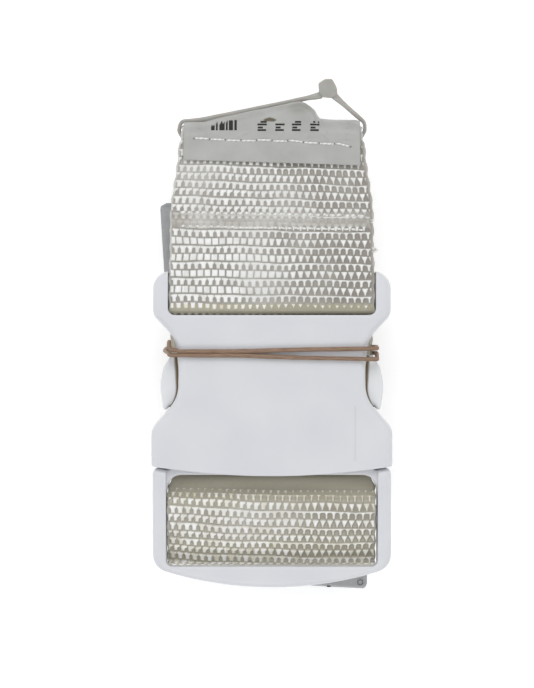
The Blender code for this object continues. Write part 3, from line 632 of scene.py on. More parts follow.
def make_housing():
    mesh = prism("socket_housing", rounded(housing_outline(), True), BUCKLE_BACK, BUCKLE_FRONT)
    housing = add_object("socket_housing", mesh, housing_acetal)
    round_edges(housing, HOUSING_EDGE, 8)
    rim = bowed_line(0, HALF_SHOULDER + FAR) + [(-HALF_SHOULDER - FAR, MOUTH_SIDE - 3 * FAR, 0),
                                                (HALF_SHOULDER + FAR, MOUTH_SIDE - 3 * FAR, 0)]
    combine(housing, prism("mouth", rounded(rim, True), 0, BUCKLE_FRONT + FAR), "DIFFERENCE")
    step = HALF_CAVITY - 4.0 * MM
    cavity = mirrored([(step, -0.8 * MM, 1 * MM), (step, RECESS_TOP, 0),
                       (HALF_CAVITY, RECESS_TOP, 0), (HALF_CAVITY, MOUTH_SIDE - FAR, 0)])
    combine(housing, prism("cavity", rounded(cavity, True), CAVITY_BACK, CAVITY_FRONT),
            "DIFFERENCE")
    notch = mirrored([(HALF_CAVITY, MOUTH_SIDE, 0), (HALF_CAVITY, MOUTH_SIDE - FAR, 0)])
    combine(housing, prism("notch", rounded(notch, True), 0, CAVITY_BACK + 1 * MM), "DIFFERENCE")
    slot = mirrored([(HALF_SLOT, EAR_TOP + FAR, 0), (HALF_SLOT, SLOT_BOTTOM, 1.6 * MM)])
    combine(housing, prism("slot", rounded(slot, True), 0, BUCKLE_FRONT + FAR), "DIFFERENCE")
    section = bar_section(SLOT_BOTTOM + SLOT_WIDTH, SOCKET_BAR_LENGTH, SOCKET_BAR_LOW,
                          SOCKET_BAR_LOW + SOCKET_BAR_THICKNESS, 0.9 * MM)
    reach = HALF_SLOT + EAR_WALL / 2
    combine(housing, prism("bar", section, -reach, reach, "X"), "UNION")
    for side in (-1, 1):
        inner = TONGUE_WIDTH / 2 + 0.35 * MM
        xs = sorted((side * inner, side * (inner + 1.4 * MM)))
        rib = [(xs[0], 0.2 * MM), (xs[1], 0.2 * MM), (xs[1], MOUTH_SIDE + 6 * MM),
               (xs[0], MOUTH_SIDE + 6 * MM)]
        combine(housing, prism("rib", rib, CAVITY_BACK - 1 * MM, BUCKLE_MID + 0.5 * MM), "UNION")
    soften(housing, MOULDING_VOXEL, 4)
    place = np.array([v.co for v in housing.data.vertices])
    line = 1 - smoothstep(0.1 * MM, 0.3 * MM, np.abs(place[:, 0] - SCUFF_X))
    there = (place[:, 1] < SCUFF_TOP) * (place[:, 1] > SCUFF_END)
    there = there * (place[:, 2] > BUCKLE_FRONT - 1 * MM)
    add_attribute(housing.data, "scuff_and_gap_shade", "FLOAT", "value", SCUFF_DEPTH * line * there)
    return housing


housing = make_housing()
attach(housing, "socket")
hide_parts("socket_body")

# %% [markdown]
# ## The plug
#
# The male half has two rails, a bowed end bar, and a window where the webbing passes
# over a lower bar. A crossbar behind the housing's mouth carries the tongue that guides
# it and the two arms that click. Frame, bars and tongue are one moulding.

# %% Sizes of the plug
PLUG_CLEARANCE = 0.35 * MM
PLUG_EDGE = 1.4 * MM
HALF_PLUG = plug_high.x
PLUG_RAIL = 3.3 * MM
HALF_WINDOW = HALF_PLUG - PLUG_RAIL
PLUG_END = plug_low.y
PLUG_END_BOW = 4.8 * MM
PLUG_CORNER = 4.5 * MM
END_BAR_INNER = -56.8 * MM
END_BAR_THICKNESS = 5.0 * MM
CENTRE_BAR_START = -42.2 * MM
CENTRE_BAR_LENGTH = 5.0 * MM
CENTRE_BAR_THICKNESS = 3.9 * MM
CENTRE_BAR_DROP = 2.5 * MM
CROSSBAR_BOTTOM = MOUTH_SIDE - MOUTH_BOW + 0.2 * MM
CROSSBAR_LENGTH = 2.6 * MM
TONGUE_TIP = plug_high.y
GUSSET_LENGTH = 5.0 * MM
GUSSET_WIDTH = 3.2 * MM


# %% Plug
def gusset_x(y):
    """How wide the window is at y: rounded fillets close its corners at the crossbar."""
    share = min(max((y - CROSSBAR_BOTTOM + GUSSET_LENGTH) / GUSSET_LENGTH, 0), 1)
    return HALF_WINDOW - GUSSET_WIDTH * (1 - math.sqrt(1 - share * share))


def plug_outline():
    xs = [HALF_PLUG * 0.8 * (1 - k / 20) for k in range(41)]
    bow = [(x, PLUG_END + PLUG_END_BOW * (x / HALF_PLUG) ** 2, 0) for x in xs]
    corner = PLUG_END + PLUG_END_BOW
    end = [(HALF_PLUG, corner, PLUG_CORNER)] + bow + [(-HALF_PLUG, corner, PLUG_CORNER)]
    return end + bowed_line(PLUG_CLEARANCE, HALF_PLUG)[::-1]


def make_plug():
    mesh = prism("plug_moulding", rounded(plug_outline(), True), PLUG_BACK, PLUG_FRONT)
    plug = add_object("plug_moulding", mesh, housing_acetal)
    round_edges(plug, PLUG_EDGE, 6)
    window = mirrored([(HALF_WINDOW, MOUTH_SIDE + FAR, 0), (HALF_WINDOW, END_BAR_INNER, 1.6 * MM)])
    combine(plug, prism("window", rounded(window, True), 0, PLUG_FRONT + FAR), "DIFFERENCE")
    under = mirrored([(HALF_WINDOW, END_BAR_INNER + 1 * MM, 0), (HALF_WINDOW, PLUG_END - FAR, 0)])
    combine(plug, prism("under", rounded(under, True), 0, PLUG_FRONT - END_BAR_THICKNESS),
            "DIFFERENCE")
    inside = HALF_CAVITY - PLUG_CLEARANCE
    ledge = mouth_y(HALF_CAVITY) - PLUG_CLEARANCE
    mid_rail = HALF_WINDOW + PLUG_RAIL / 2
    fillet_ys = [CROSSBAR_BOTTOM - GUSSET_LENGTH * (1 - k / 12) for k in range(13)]
    crossbar = mirrored([
        (inside, CROSSBAR_BOTTOM + CROSSBAR_LENGTH, 0), (inside, ledge, 0), (mid_rail, ledge, 0),
        (mid_rail, CROSSBAR_BOTTOM - GUSSET_LENGTH, 0)] + [(gusset_x(y), y, 0) for y in fillet_ys])
    combine(plug, prism("crossbar", rounded(crossbar, True), CAVITY_BACK + PLUG_CLEARANCE,
                        CAVITY_FRONT - PLUG_CLEARANCE), "UNION")
    tongue = mirrored([(TONGUE_WIDTH / 2 - 2 * MM, TONGUE_TIP, 0.8 * MM),
                       (TONGUE_WIDTH / 2, TONGUE_TIP - 3 * MM, 1 * MM),
                       (TONGUE_WIDTH / 2, CROSSBAR_BOTTOM + 1 * MM, 0)])
    combine(plug, prism("tongue", rounded(tongue, True), BUCKLE_MID - 1.5 * MM,
                        BUCKLE_MID + 1.5 * MM), "UNION")
    high = PLUG_FRONT - CENTRE_BAR_DROP
    section = bar_section(CENTRE_BAR_START - CENTRE_BAR_LENGTH, CENTRE_BAR_LENGTH,
                          high - CENTRE_BAR_THICKNESS, high, 1.2 * MM)
    combine(plug, prism("centre_bar", section, -mid_rail, mid_rail, "X"), "UNION")
    soften(plug, MOULDING_VOXEL, 4)
    return plug


plug = make_plug()
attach(plug, "plug")
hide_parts("plug_frame")

# %% [markdown]
# ## The spring arms
#
# Each arm of the plug ends in a thumb button that fills the finger recess and a hook
# that catches behind the housing's side wall.

# %% Arms
ARM_EDGE = 0.6 * MM
ARM_THICKNESS = 2.8 * MM
ARM_DEPTH = 7.0 * MM
ARM_ROOT_RADIUS = 1.7 * MM
BUTTON_REACH = 2.3 * MM
BUTTON_HOOK = 1.3 * MM
recess_line = sorted((p.y, p.x) for p in rounded(housing_outline(), True)
                     if p.x > 0 and SHOULDER_TOP < p.y < RECESS_TOP + 3 * MM)
RECESS_YS, RECESS_XS = zip(*recess_line)


def make_arm(side_name, side):
    outer = HALF_CAVITY - PLUG_CLEARANCE
    inner = outer - ARM_THICKNESS
    root_x = outer - ARM_ROOT_RADIUS
    root_y = CROSSBAR_BOTTOM + CROSSBAR_LENGTH + FIT_GAP + ARM_ROOT_RADIUS
    hook_y = SHOULDER_TOP + 0.7 * MM
    peak = HALF_CAVITY + BUTTON_REACH
    root = [(root_x + ARM_ROOT_RADIUS * math.cos(a), root_y + ARM_ROOT_RADIUS * math.sin(a), 0)
            for a in [-math.pi * k / 16 for k in range(17)]]
    rest = [
        (root_x - ARM_ROOT_RADIUS, root_y + 2.5 * MM, 0),
        (inner, root_y + 4 * MM, 2 * MM),
        (inner, hook_y - 1 * MM, 2 * MM),
        (inner - 1.4 * MM, hook_y + 3 * MM, 3 * MM),
        (inner - 1.4 * MM, RECESS_TOP - 1.5 * MM, 1.2 * MM),
        (inner + 0.4 * MM, RECESS_TOP - 0.4 * MM, 0.6 * MM),
        (outer - 0.1 * MM, RECESS_TOP - 0.4 * MM, 0.8 * MM),
        (peak - 0.9 * MM, RECESS_TOP - 3.2 * MM, 4 * MM),
        (peak, (hook_y + RECESS_TOP) / 2 - 0.6 * MM, 12 * MM),
        (HALF_CAVITY + BUTTON_HOOK, hook_y, 0.6 * MM),
        (outer, hook_y + 2.0 * MM, 0),
    ]
    outline = [Vector((side * p.x, p.y)) for p in rounded(root + rest, closed=True)]
    mesh = prism(side_name + "_spring_arm", outline, BUCKLE_MID - ARM_DEPTH / 2,
                 BUCKLE_MID + ARM_DEPTH / 2)
    arm = add_object(side_name + "_spring_arm", mesh, arm_acetal)
    round_edges(arm, ARM_EDGE, 4)
    soften(arm, 0.2 * MM, 3)
    # Painted shadow: a brown line along the housing's recess edge, widest at the top, stands for
    # the shaded gap between the plate's edge and the sunken button.
    place = np.array([v.co for v in arm.data.vertices])
    past = np.abs(place[:, 0]) - np.interp(place[:, 1], RECESS_YS, RECESS_XS)
    wider = smoothstep(SHOULDER_TOP + 2 * MM, RECESS_TOP - 3 * MM, place[:, 1])
    width = 0.75 * MM * wider + 0.45 * MM
    scuff_and_gap_shade = 1 - smoothstep(0.5 * width, width, np.abs(past + 0.1 * MM))
    add_attribute(arm.data, "scuff_and_gap_shade", "FLOAT", "value", scuff_and_gap_shade)
    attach(arm, side_name + "_arm")
    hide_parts(side_name + "_arm")


make_arm("left", -1)
make_arm("right", 1)

# %% [markdown]
# ## The webbing
#
# Webbing is a thick narrow cloth. Its face shows staggered floats, 28 across and one
# every 2 mm along, and its edges are closed by the weft. A painted-on weave would look
# flat here, because the floats stand about 0.4 mm proud and each has its own shadow, so
# the floats are real relief; their highlights and the shade in their hollows are also
# painted into the colour. A strip is a closed skin swept along its route, fine where
# the eye can reach and coarse between the layers of the pile.

# %% How a strip lies along its route
COLUMNS = 28
ROW = 2.0 * MM                    # one row of floats along the strip
ROW_AT_START = 400                # rows are counted from here, so none is negative
SEAM_ROW = 387                    # the loop's seam, in rows
SLOT_ROW = 404                    # where the run turns into the slot
FLOAT_HEIGHT = 0.42 * MM
FINE = 10                         # points across one float where the strip is seen
EDGE_ROUND = 0.55 * MM
EDGE_POINTS = 6
strip_lengths = {}
rng = np.random.RandomState(5)
FLOAT_WIDE = rng.uniform(-1, 1, (61, COLUMNS + 2))
FLOAT_LEAN = rng.uniform(-1, 1, (61, COLUMNS + 2))
FLOAT_SHINE = rng.uniform(0, 1, 997) ** 2


class Route:
    """A line in (y, z) that can be read at any distance along it."""

    def __init__(self, points):
        self.line = np.array([tuple(p) for p in points])
        steps = np.hypot(*np.diff(self.line, axis=0).T)
        self.at = np.concatenate(([0], np.cumsum(steps)))
        self.length = self.at[-1]

    def point(self, s):
        return np.stack([np.interp(s, self.at, self.line[:, k]) for k in (0, 1)], -1)

    def normal(self, s, reach=0.25 * MM):
        ahead = self.point(np.minimum(s + reach, self.length))
        ahead -= self.point(np.maximum(s - reach, 0))
        ahead /= np.hypot(*ahead.T)[:, None]
        return np.stack([-ahead[:, 1], ahead[:, 0]], -1)

    def where(self, corner):
        """The distance along at which the line passes nearest to a corner (y, z)."""
        s = np.arange(0, self.length, 0.1 * MM)
        return s[np.argmin(np.hypot(*(self.point(s) - np.array(corner)).T))]


# %% The shape of one float
def float_depth(column, row):
    """How deep inside a float a place is: below 0 in a hollow, 1 at the float's middle.
    Even rows are toothed: joined along their upper edge, with round arches between.
    Odd rows are single floats: hooked or square on the left, wedges on the right."""
    row = row + 0.05 * np.sin(column / 2.3 + row / 2.1) + 0.035 * np.sin(column * 0.9 - row)
    number = np.floor(row).astype(int)
    b = row - number
    odd = number % 2
    shifted = column + 0.5 * odd + 0.05 * np.sin(row * 1.7 + column / 3.1)
    cell = np.floor(shifted).astype(int)
    a = shifted - cell - 0.5
    wide = FLOAT_WIDE[number % 61, cell % (COLUMNS + 2)]
    lean = FLOAT_LEAN[number % 61, cell % (COLUMNS + 2)]
    leftward = 1 - smoothstep(9, 21, column + 2.5 * np.sin(row * 0.7))
    past_seam = smoothstep(SEAM_ROW + 1, SEAM_ROW - 1, row)
    hooked = leftward * np.maximum(past_seam, smoothstep(SLOT_ROW - 1, SLOT_ROW + 1, row))
    square = leftward * (1 - hooked)
    crown = 0.16 + 0.1 * leftward
    round_top = np.sqrt(np.clip(1 - (np.clip(crown + 0.3 - b, 0, 1) / 0.3) ** 2, 0, 1))
    arch = (0.31 - 0.1 * leftward) * round_top + 0.05 * (1 - leftward) * b
    tooth = np.where(b < crown, 0.7 - 0.2 * leftward, 0.5 - arch - 0.02 * lean)
    wedge = 0.43 - 0.3 * smoothstep(0.0, 0.8, b)
    hook = 0.46 - 0.2 * smoothstep(0.25, 0.5, b)
    single = wedge + (hook - wedge) * hooked + (0.445 - wedge) * square
    bar = smoothstep(0.2, 0.42, b)
    centre = np.where(odd == 1, -(0.02 + 0.16 * bar) * hooked, 0) + 0.03 * lean
    half = np.where(odd == 1, single, tooth) + 0.03 * wide
    across = (half - np.abs(a - centre)) / 0.2
    lower = 0.9 - 0.06 * np.maximum(hooked, square) * odd
    return np.minimum(np.minimum(across, b / 0.16), (lower - b) / 0.16)


def ring_choice(front_step, back_step):
    """Which points of the finest ring are used: every front_step across the + face and
    every back_step across the - face, with all the points of the edges."""
    faces = COLUMNS * FINE
    front = list(range(0, faces + 1, front_step))
    right = list(range(faces + 1, faces + 1 + EDGE_POINTS))
    first_back = faces + 1 + EDGE_POINTS
    back = list(range(first_back, first_back + faces + 1, back_step))
    left = list(range(first_back + faces + 1, first_back + faces + 1 + EDGE_POINTS))
    return front + right + back + left


def strip_rows(route, spans):
    """The distances along at which the strip has a ring, and each ring's choice."""
    rows = []
    start = 0.0
    for end, step, front_step, back_step in spans:
        end = min(end, route.length)
        count = max(1, round((end - start) / step))
        rows += [(start + (end - start) * k / count, front_step, back_step) for k in range(count)]
        start = end
    rows.append((route.length, *rows[-1][1:]))
    return rows


# %% A woven strip
def woven_strip(name, route, spans, edges, sense=1, slant=None, bend=0.0, calm=None,
                selvedge=0.0, row_start=0.0, shrink=None, olive=None, pale=None):
    """A closed skin along route. edges(y, z) gives the left and right x; sense is -1
    where rows count against the route; slant(s) tips the rows and bend curves them;
    calm(s) from 0 to 1 flattens the floats, as under a seam, and evens their painted light;
    shrink(s) flattens them and shrinks their painted highlights to small dots where they
    turn edge on; olive(s) is how far the painted shade is olive, and pale(s) how far a
    hollow is painted as light as a float."""
    rows = strip_rows(route, spans)
    s = np.array([r[0] for r in rows])
    middle, normal = route.point(s), route.normal(s)
    faces = COLUMNS * FINE
    share = np.arange(faces + 1) / faces
    turn = np.radians(90 - 180 * (np.arange(EDGE_POINTS) + 1) / (EDGE_POINTS + 1))
    flat = np.array([edges(p[0], p[1]) for p in middle])
    left, right = flat[:, :1], flat[:, 1:]
    zero = np.zeros_like(left)
    x_face = left + EDGE_ROUND + (right - left - 2 * EDGE_ROUND) * share
    tip = (slant(s) if slant else np.zeros_like(s))[:, None]
    quiet = (calm(s) if calm else np.zeros_like(s))[:, None]

    def row_of(x):
        along = sense * (s[:, None] - row_start) + tip * x + bend * x * x / MM
        return along / ROW + ROW_AT_START

    column = np.broadcast_to(share * COLUMNS, x_face.shape)
    # Painted light: bright paints each float's highlight at 1 and the shade in its hollows at 0,
    # and hollow is 1 - bright. Where floats turn edge on they are flattened and their painted
    # highlights shrink to dots.
    dot_shrink = (shrink(s) if shrink else np.zeros_like(s))[:, None]
    inside = float_depth(column, row_of(x_face))
    edge = 0.95 * dot_shrink
    bright = smoothstep(edge - 0.15, edge + 0.45, inside)
    # The left part is painted a little lighter. Under a seam the painted light is evened and
    # dimmed, and a selvedge is painted darker.
    bright = np.maximum(bright, 0.25 * (1 - smoothstep(9, 21, column)))
    height = smoothstep(edge - 0.45, edge + 0.6, inside)
    height += (1 - height) * np.minimum(0.35 * dot_shrink, 0.8)
    height = height + (0.72 - height) * quiet * 0.8
    bright = bright + (0.42 - bright) * quiet * 0.85
    if selvedge:
        strand = smoothstep(right - selvedge - 0.3 * MM, right - selvedge, x_face)
        height = height + (0.3 - height) * strand
        bright = bright + (0.1 - bright) * strand
    # Each float's painted highlight is dimmed by a random amount.
    place = np.floor(row_of(x_face)).astype(int) * 31 + np.floor(column + 0.25).astype(int)
    bright = bright * (1 - 0.22 * FLOAT_SHINE[place % 997] * (1 - quiet)) * (1 - 0.2 * quiet)
    # Painted light: pale(s) raises a hollow up to a float's brightness.
    if pale:
        bright = np.maximum(bright, pale(s)[:, None])
    half = WEBBING_THICKNESS / 2
    top = half - FLOAT_HEIGHT * (1 - height)
    bulge = 0.14 * MM * np.cos(np.pi * row_of(zero)) * np.cos(turn)
    # The rounded edges get a fixed painted mid shade, a little darker on the right edge than on the
    # left.
    parts = [
        (x_face, top, 1 - bright),
        (right - EDGE_ROUND + EDGE_ROUND * np.cos(turn) + bulge,
         top[:, -1:] * np.sin(turn), zero + 0.55 + 0 * turn),
        (x_face[:, ::-1], -top[:, ::-1], 1 - bright[:, ::-1]),
        (left + EDGE_ROUND - EDGE_ROUND * np.cos(turn) - bulge,
         -top[:, :1] * np.sin(turn), zero + 0.45 + 0 * turn),
    ]
    x = np.concatenate([p[0] for p in parts], 1)
    away = np.concatenate([p[1] for p in parts], 1)
    hollow = np.concatenate([p[2] for p in parts], 1)
    y = middle[:, :1] + normal[:, :1] * away
    z = middle[:, 1:] + normal[:, 1:] * away
    choices = {}
    used, starts, at = [], [], 0
    for r in rows:
        choice = choices.setdefault(r[1:], ring_choice(*r[1:]))
        used.append(choice)
        starts.append(at)
        at += len(choice)
    index = np.concatenate([np.array(c) + i * x.shape[1] for i, c in enumerate(used)])
    vertices = np.stack([x.ravel()[index], y.ravel()[index], z.ravel()[index]], -1)
    polygons = [tuple(range(len(used[0])))[::-1]]
    for i in range(len(rows) - 1):
        a, b, at_a, at_b = used[i], used[i + 1], starts[i], starts[i + 1]
        if a is b:
            n = len(a)
            polygons += [(at_a + k, at_a + (k + 1) % n, at_b + (k + 1) % n, at_b + k)
                         for k in range(n)]
            continue
        polygons += stitched_rings(a, b, at_a, at_b)
    polygons.append(tuple(starts[-1] + k for k in range(len(used[-1]))))
    mesh = bpy.data.meshes.new(name)
    mesh.from_pydata(vertices.tolist(), [], polygons)
    along = np.repeat(s, [len(c) for c in used])
    strip = np.stack([x.ravel()[index], along, np.sign(away.ravel()[index]) * 9 * MM], -1)
    add_attribute(mesh, "strip", "FLOAT_VECTOR", "vector", strip)
    add_attribute(mesh, "hollow", "FLOAT", "value", hollow.ravel()[index])
    add_attribute(mesh, "olive", "FLOAT", "value", (olive(along) if olive else 0 * along))
    obj = add_object(name, mesh, webbing_weave, smooth_angle=180)
    strip_lengths[name] = float(route.length)
    print(name, len(polygons), "faces, %.0f mm long" % (route.length / MM))
    return obj


def stitched_rings(a, b, at_a, at_b):
    """Joins a fine ring to a coarse one, face by face between the points they share."""
    shared = sorted(set(a) & set(b))
    place_a = {value: k for k, value in enumerate(a)}
    place_b = {value: k for k, value in enumerate(b)}
    polygons = []
    for here, there in zip(shared, shared[1:] + shared[:1]):
        a_stop = place_a[there] if there > here else len(a)
        b_stop = place_b[there] if there > here else len(b)
        run_a = [at_a + k % len(a) for k in range(place_a[here], a_stop + 1)]
        run_b = [at_b + k % len(b) for k in range(place_b[here], b_stop + 1)]
        polygons.append(tuple(run_a + run_b[::-1]))
    return polygons


# %% Sizes of the pile
FOLD_RADIUS = 4.5 * MM
FOLD_CENTRE = 46.9 * MM
TAIL_OF_LOOP = 33.4 * MM
SEAM = 28.0 * MM
PILE_TOP = 46.0 * MM
PILE_BOTTOM = -54.0 * MM
INNER_END = 38.0 * MM
HEM_LENGTH = 20.0 * MM
RUN_END = adjuster_high.y
WEBBING_PINCH = 3.8 * MM
FOLD_NARROWS = 0.7 * MM           # each edge, where the tag loop's strand cuts in
BAND_WIDTH = 1.1 * MM
BAND_Y = (band_low.y + band_high.y) / 2
BAND_SPREAD = 1.5 * MM
Z_STANDING_0 = standing_low.z + WEBBING_THICKNESS / 2 + PITCH
Z_STANDING_1 = Z_STANDING_0 - PITCH
Z_LOWER_RUN = Z_STANDING_0 + PITCH
Z_UPPER_RUN = Z_LOWER_RUN + PITCH
Z_TAIL_0 = tail_high.z - WEBBING_THICKNESS / 2
Z_TAIL_1 = Z_TAIL_0 - PITCH
Z_TAIL_3 = WEBBING_THICKNESS / 2
Z_HEM = Z_TAIL_3 + PITCH
Z_TAIL_2 = Z_HEM + PITCH
FOLD_AXIS_Z = Z_STANDING_0 + FOLD_RADIUS


# %% Standing run: round the socket's bar, up the front, over the top fold, into the pile
def front_run_ends():
    """The front run's two corners: above the bar, and past the fold it is tangent to."""
    top = SOCKET_BAR_LOW + SOCKET_BAR_THICKNESS + FIT_GAP + WEBBING_THICKNESS / 2
    start = Vector((SLOT_BOTTOM + SLOT_WIDTH + 4 * MM, top))
    to_centre = Vector((FOLD_CENTRE, FOLD_AXIS_Z)) - start
    angle = math.atan2(to_centre.y, to_centre.x) + math.asin(FOLD_RADIUS / to_centre.length)
    reach = FOLD_CENTRE + FOLD_RADIUS - start.x
    return start, Vector((start.x + reach, start.y + reach * math.tan(angle)))


RUN_START, RUN_TIP = front_run_ends()
RUN_SLOPE = (RUN_TIP.y - RUN_START.y) / (RUN_TIP.x - RUN_START.x)


def front_run_z(y, offset=0):
    return RUN_START.y + RUN_SLOPE * (y - RUN_START.x) + offset * math.hypot(1, RUN_SLOPE)


def pinched(y, z):
    """The front run is drawn in by the tag loop towards the top fold."""
    near = min(max((y - SEAM) / (FOLD_CENTRE - SEAM), 0), 1) if z > Z_STANDING_0 else 1
    half = HALF_WEBBING - WEBBING_PINCH / 2 * near * near * (3 - 2 * near) * (z > Z_STANDING_1)
    half -= FOLD_NARROWS * smoothstep(FOLD_CENTRE + 0.1 * MM, FOLD_CENTRE + 1.3 * MM, y)
    if z < Z_STANDING_1 + 0.5 * MM:
        return drawn_in(y, z)
    half += 0.2 * MM * (1 - smoothstep(EAR_TOP - 1 * MM, EAR_TOP + 5 * MM, y))
    return -half, half


def drawn_in(y, z):
    """A layer of the pile: full width, but squeezed towards the top with the fold."""
    half = HALF_WEBBING - 2.6 * MM * smoothstep(SEAM + 1 * MM, FOLD_CENTRE - 3 * MM, y)
    return -half - 0.2 * MM, half - 0.2 * MM


def make_standing_run():
    half = WEBBING_THICKNESS / 2
    slot_y = SLOT_BOTTOM + half + 0.02 * MM
    back_z = SOCKET_BAR_LOW - FIT_GAP - half
    route = Route(rounded([
        (TAIL_OF_LOOP, front_run_z(TAIL_OF_LOOP, -PITCH), 0),
        (SEAM - 3 * MM, front_run_z(SEAM - 3 * MM, -PITCH), 8 * MM),
        (SLOT_BOTTOM + SLOT_WIDTH + SOCKET_BAR_LENGTH - 1 * MM, back_z, 5 * MM),
        (slot_y, back_z, 1.5 * MM),
        (slot_y, RUN_START.y + 0.25 * MM, 0.75 * MM),
        (RUN_START.x, RUN_START.y, 10 * MM),
        (RUN_TIP.x, RUN_TIP.y, FOLD_RADIUS),
        (RUN_TIP.x, Z_STANDING_0, FOLD_RADIUS),
        (PILE_BOTTOM, Z_STANDING_0, PITCH / 2),
        (PILE_BOTTOM, Z_STANDING_1, PITCH / 2),
        (INNER_END, Z_STANDING_1, 0),
    ], closed=False))
    up = route.where((slot_y, BUCKLE_MID))
    seam = route.where((SEAM - 0.7 * MM, front_run_z(SEAM - 0.7 * MM)))
    label = route.where((FOLD_CENTRE, FOLD_AXIS_Z + FOLD_RADIUS))
    fold = route.where((FOLD_CENTRE, Z_STANDING_0))
    spans = [(up - 3 * MM, 0.5 * MM, 10, 10), (label, 0.2 * MM, 1, 10),
             (fold, 0.25 * MM, 2, 10), (route.length, 0.5 * MM, 10, 10)]

    def calm(s):
        flat = 1 - smoothstep(0.8 * MM, 1.5 * MM, np.abs(s - seam))
        stitched = 0.8 * (1 - smoothstep(0.4 * MM, 0.9 * MM, np.abs(s - seam - 2.0 * MM)))
        return np.maximum(flat, stitched)

    def slant(s):
        return -0.008 - 0.026 * smoothstep(up, label, s)

    edge = route.where((slot_y + 1.4 * MM, RUN_START.y))

    # Painted shade: olive from inside the slot to just past its edge, where the painted highlights
    # also shrink to dots.
    def olive(s):
        return smoothstep(edge + 1.0 * MM, edge + 0.2 * MM, s)

    def shrink(s):
        first = 0.62 * smoothstep(edge + 1.2 * MM, edge + 0.4 * MM, s)
        return first + 0.4 * smoothstep(edge, edge - 0.8 * MM, s)

    return woven_strip("webbing_standing_run", route, spans, pinched, sense=-1, slant=slant,
                       calm=calm, selvedge=0.7 * MM, row_start=up, olive=olive, shrink=shrink)


standing_run = make_standing_run()
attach(standing_run, "socket")
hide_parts("strap_standing")


# %% Adjuster run: from behind, over the plug's centre bar, under its end bar and back
def beside_gussets(y, z):
    """The run spreads to the rails, and is drawn in where it passes the plug's gussets."""
    if z < BUCKLE_BACK - 0.5 * MM:
        return drawn_in(y, z)
    most = gusset_x(y) - 0.2 * MM
    return -min(HALF_WEBBING + 0.7 * MM, most), min(HALF_WEBBING + 0.45 * MM, most)


def make_adjuster_run():
    half = WEBBING_THICKNESS / 2
    bar_top = PLUG_FRONT - CENTRE_BAR_DROP + FIT_GAP + half
    bar_back = CENTRE_BAR_START - CENTRE_BAR_LENGTH
    under_bar = PLUG_FRONT - END_BAR_THICKNESS - FIT_GAP - half
    route = Route(rounded([
        (RUN_END, Z_UPPER_RUN, 0),
        (MOUTH_SIDE - 1.5 * MM, Z_UPPER_RUN, 3 * MM),
        (CENTRE_BAR_START + 1.5 * MM, bar_top, 3 * MM),
        (bar_back + 1 * MM, bar_top, 10 * MM),
        (END_BAR_INNER + 1.1 * MM, under_bar + 0.1 * MM, 2.5 * MM),
        (END_BAR_INNER - 0.9 * MM, (Z_UPPER_RUN + Z_LOWER_RUN) / 2, 2 * MM),
        (END_BAR_INNER + 1.5 * MM, Z_LOWER_RUN, 2 * MM),
        (RUN_END, Z_LOWER_RUN, 0),
    ], closed=False))
    rise = route.where((MOUTH_SIDE, Z_UPPER_RUN))
    under = route.where((END_BAR_INNER, under_bar))
    foot = route.where((END_BAR_INNER + 1.5 * MM, Z_LOWER_RUN))
    spans = [(rise, 0.5 * MM, 10, 10), (under, 0.2 * MM, 10, 1), (foot, 0.4 * MM, 10, 2),
             (route.length, 0.5 * MM, 10, 10)]
    crest = route.where((CENTRE_BAR_START + 1.5 * MM, bar_top))

    # Painted shade: olive on the slope that rises under the housing's mouth, weaker past the crest,
    # and stronger again towards the end bar.
    def olive(s):
        slope = 1 - 0.65 * smoothstep(crest - 2.0 * MM, crest + 3.0 * MM, s)
        return slope + 0.5 * smoothstep(crest + 4 * MM, under - 1 * MM, s)

    # Floats are flattened on the rise, and their painted highlights grow from dots near the crest.
    def shrink(s):
        return 2.3 - 2.3 * smoothstep(rise + 3.0 * MM, crest + 2.0 * MM, s)

    # Painted light: on the slope under the mouth, the hollows are painted nearly as light as the
    # floats.
    def pale(s):
        return 0.82 - 0.82 * smoothstep(rise + 7.0 * MM, crest + 1.0 * MM, s)

    return woven_strip("webbing_adjuster_run", route, spans, beside_gussets,
                       slant=lambda s: np.full_like(s, -0.03), bend=0.00085, row_start=rise,
                       selvedge=0.3 * MM, olive=olive, shrink=shrink, pale=pale)


adjuster_run = make_adjuster_run()
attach(adjuster_run, "plug")
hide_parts("strap_adjuster_run")


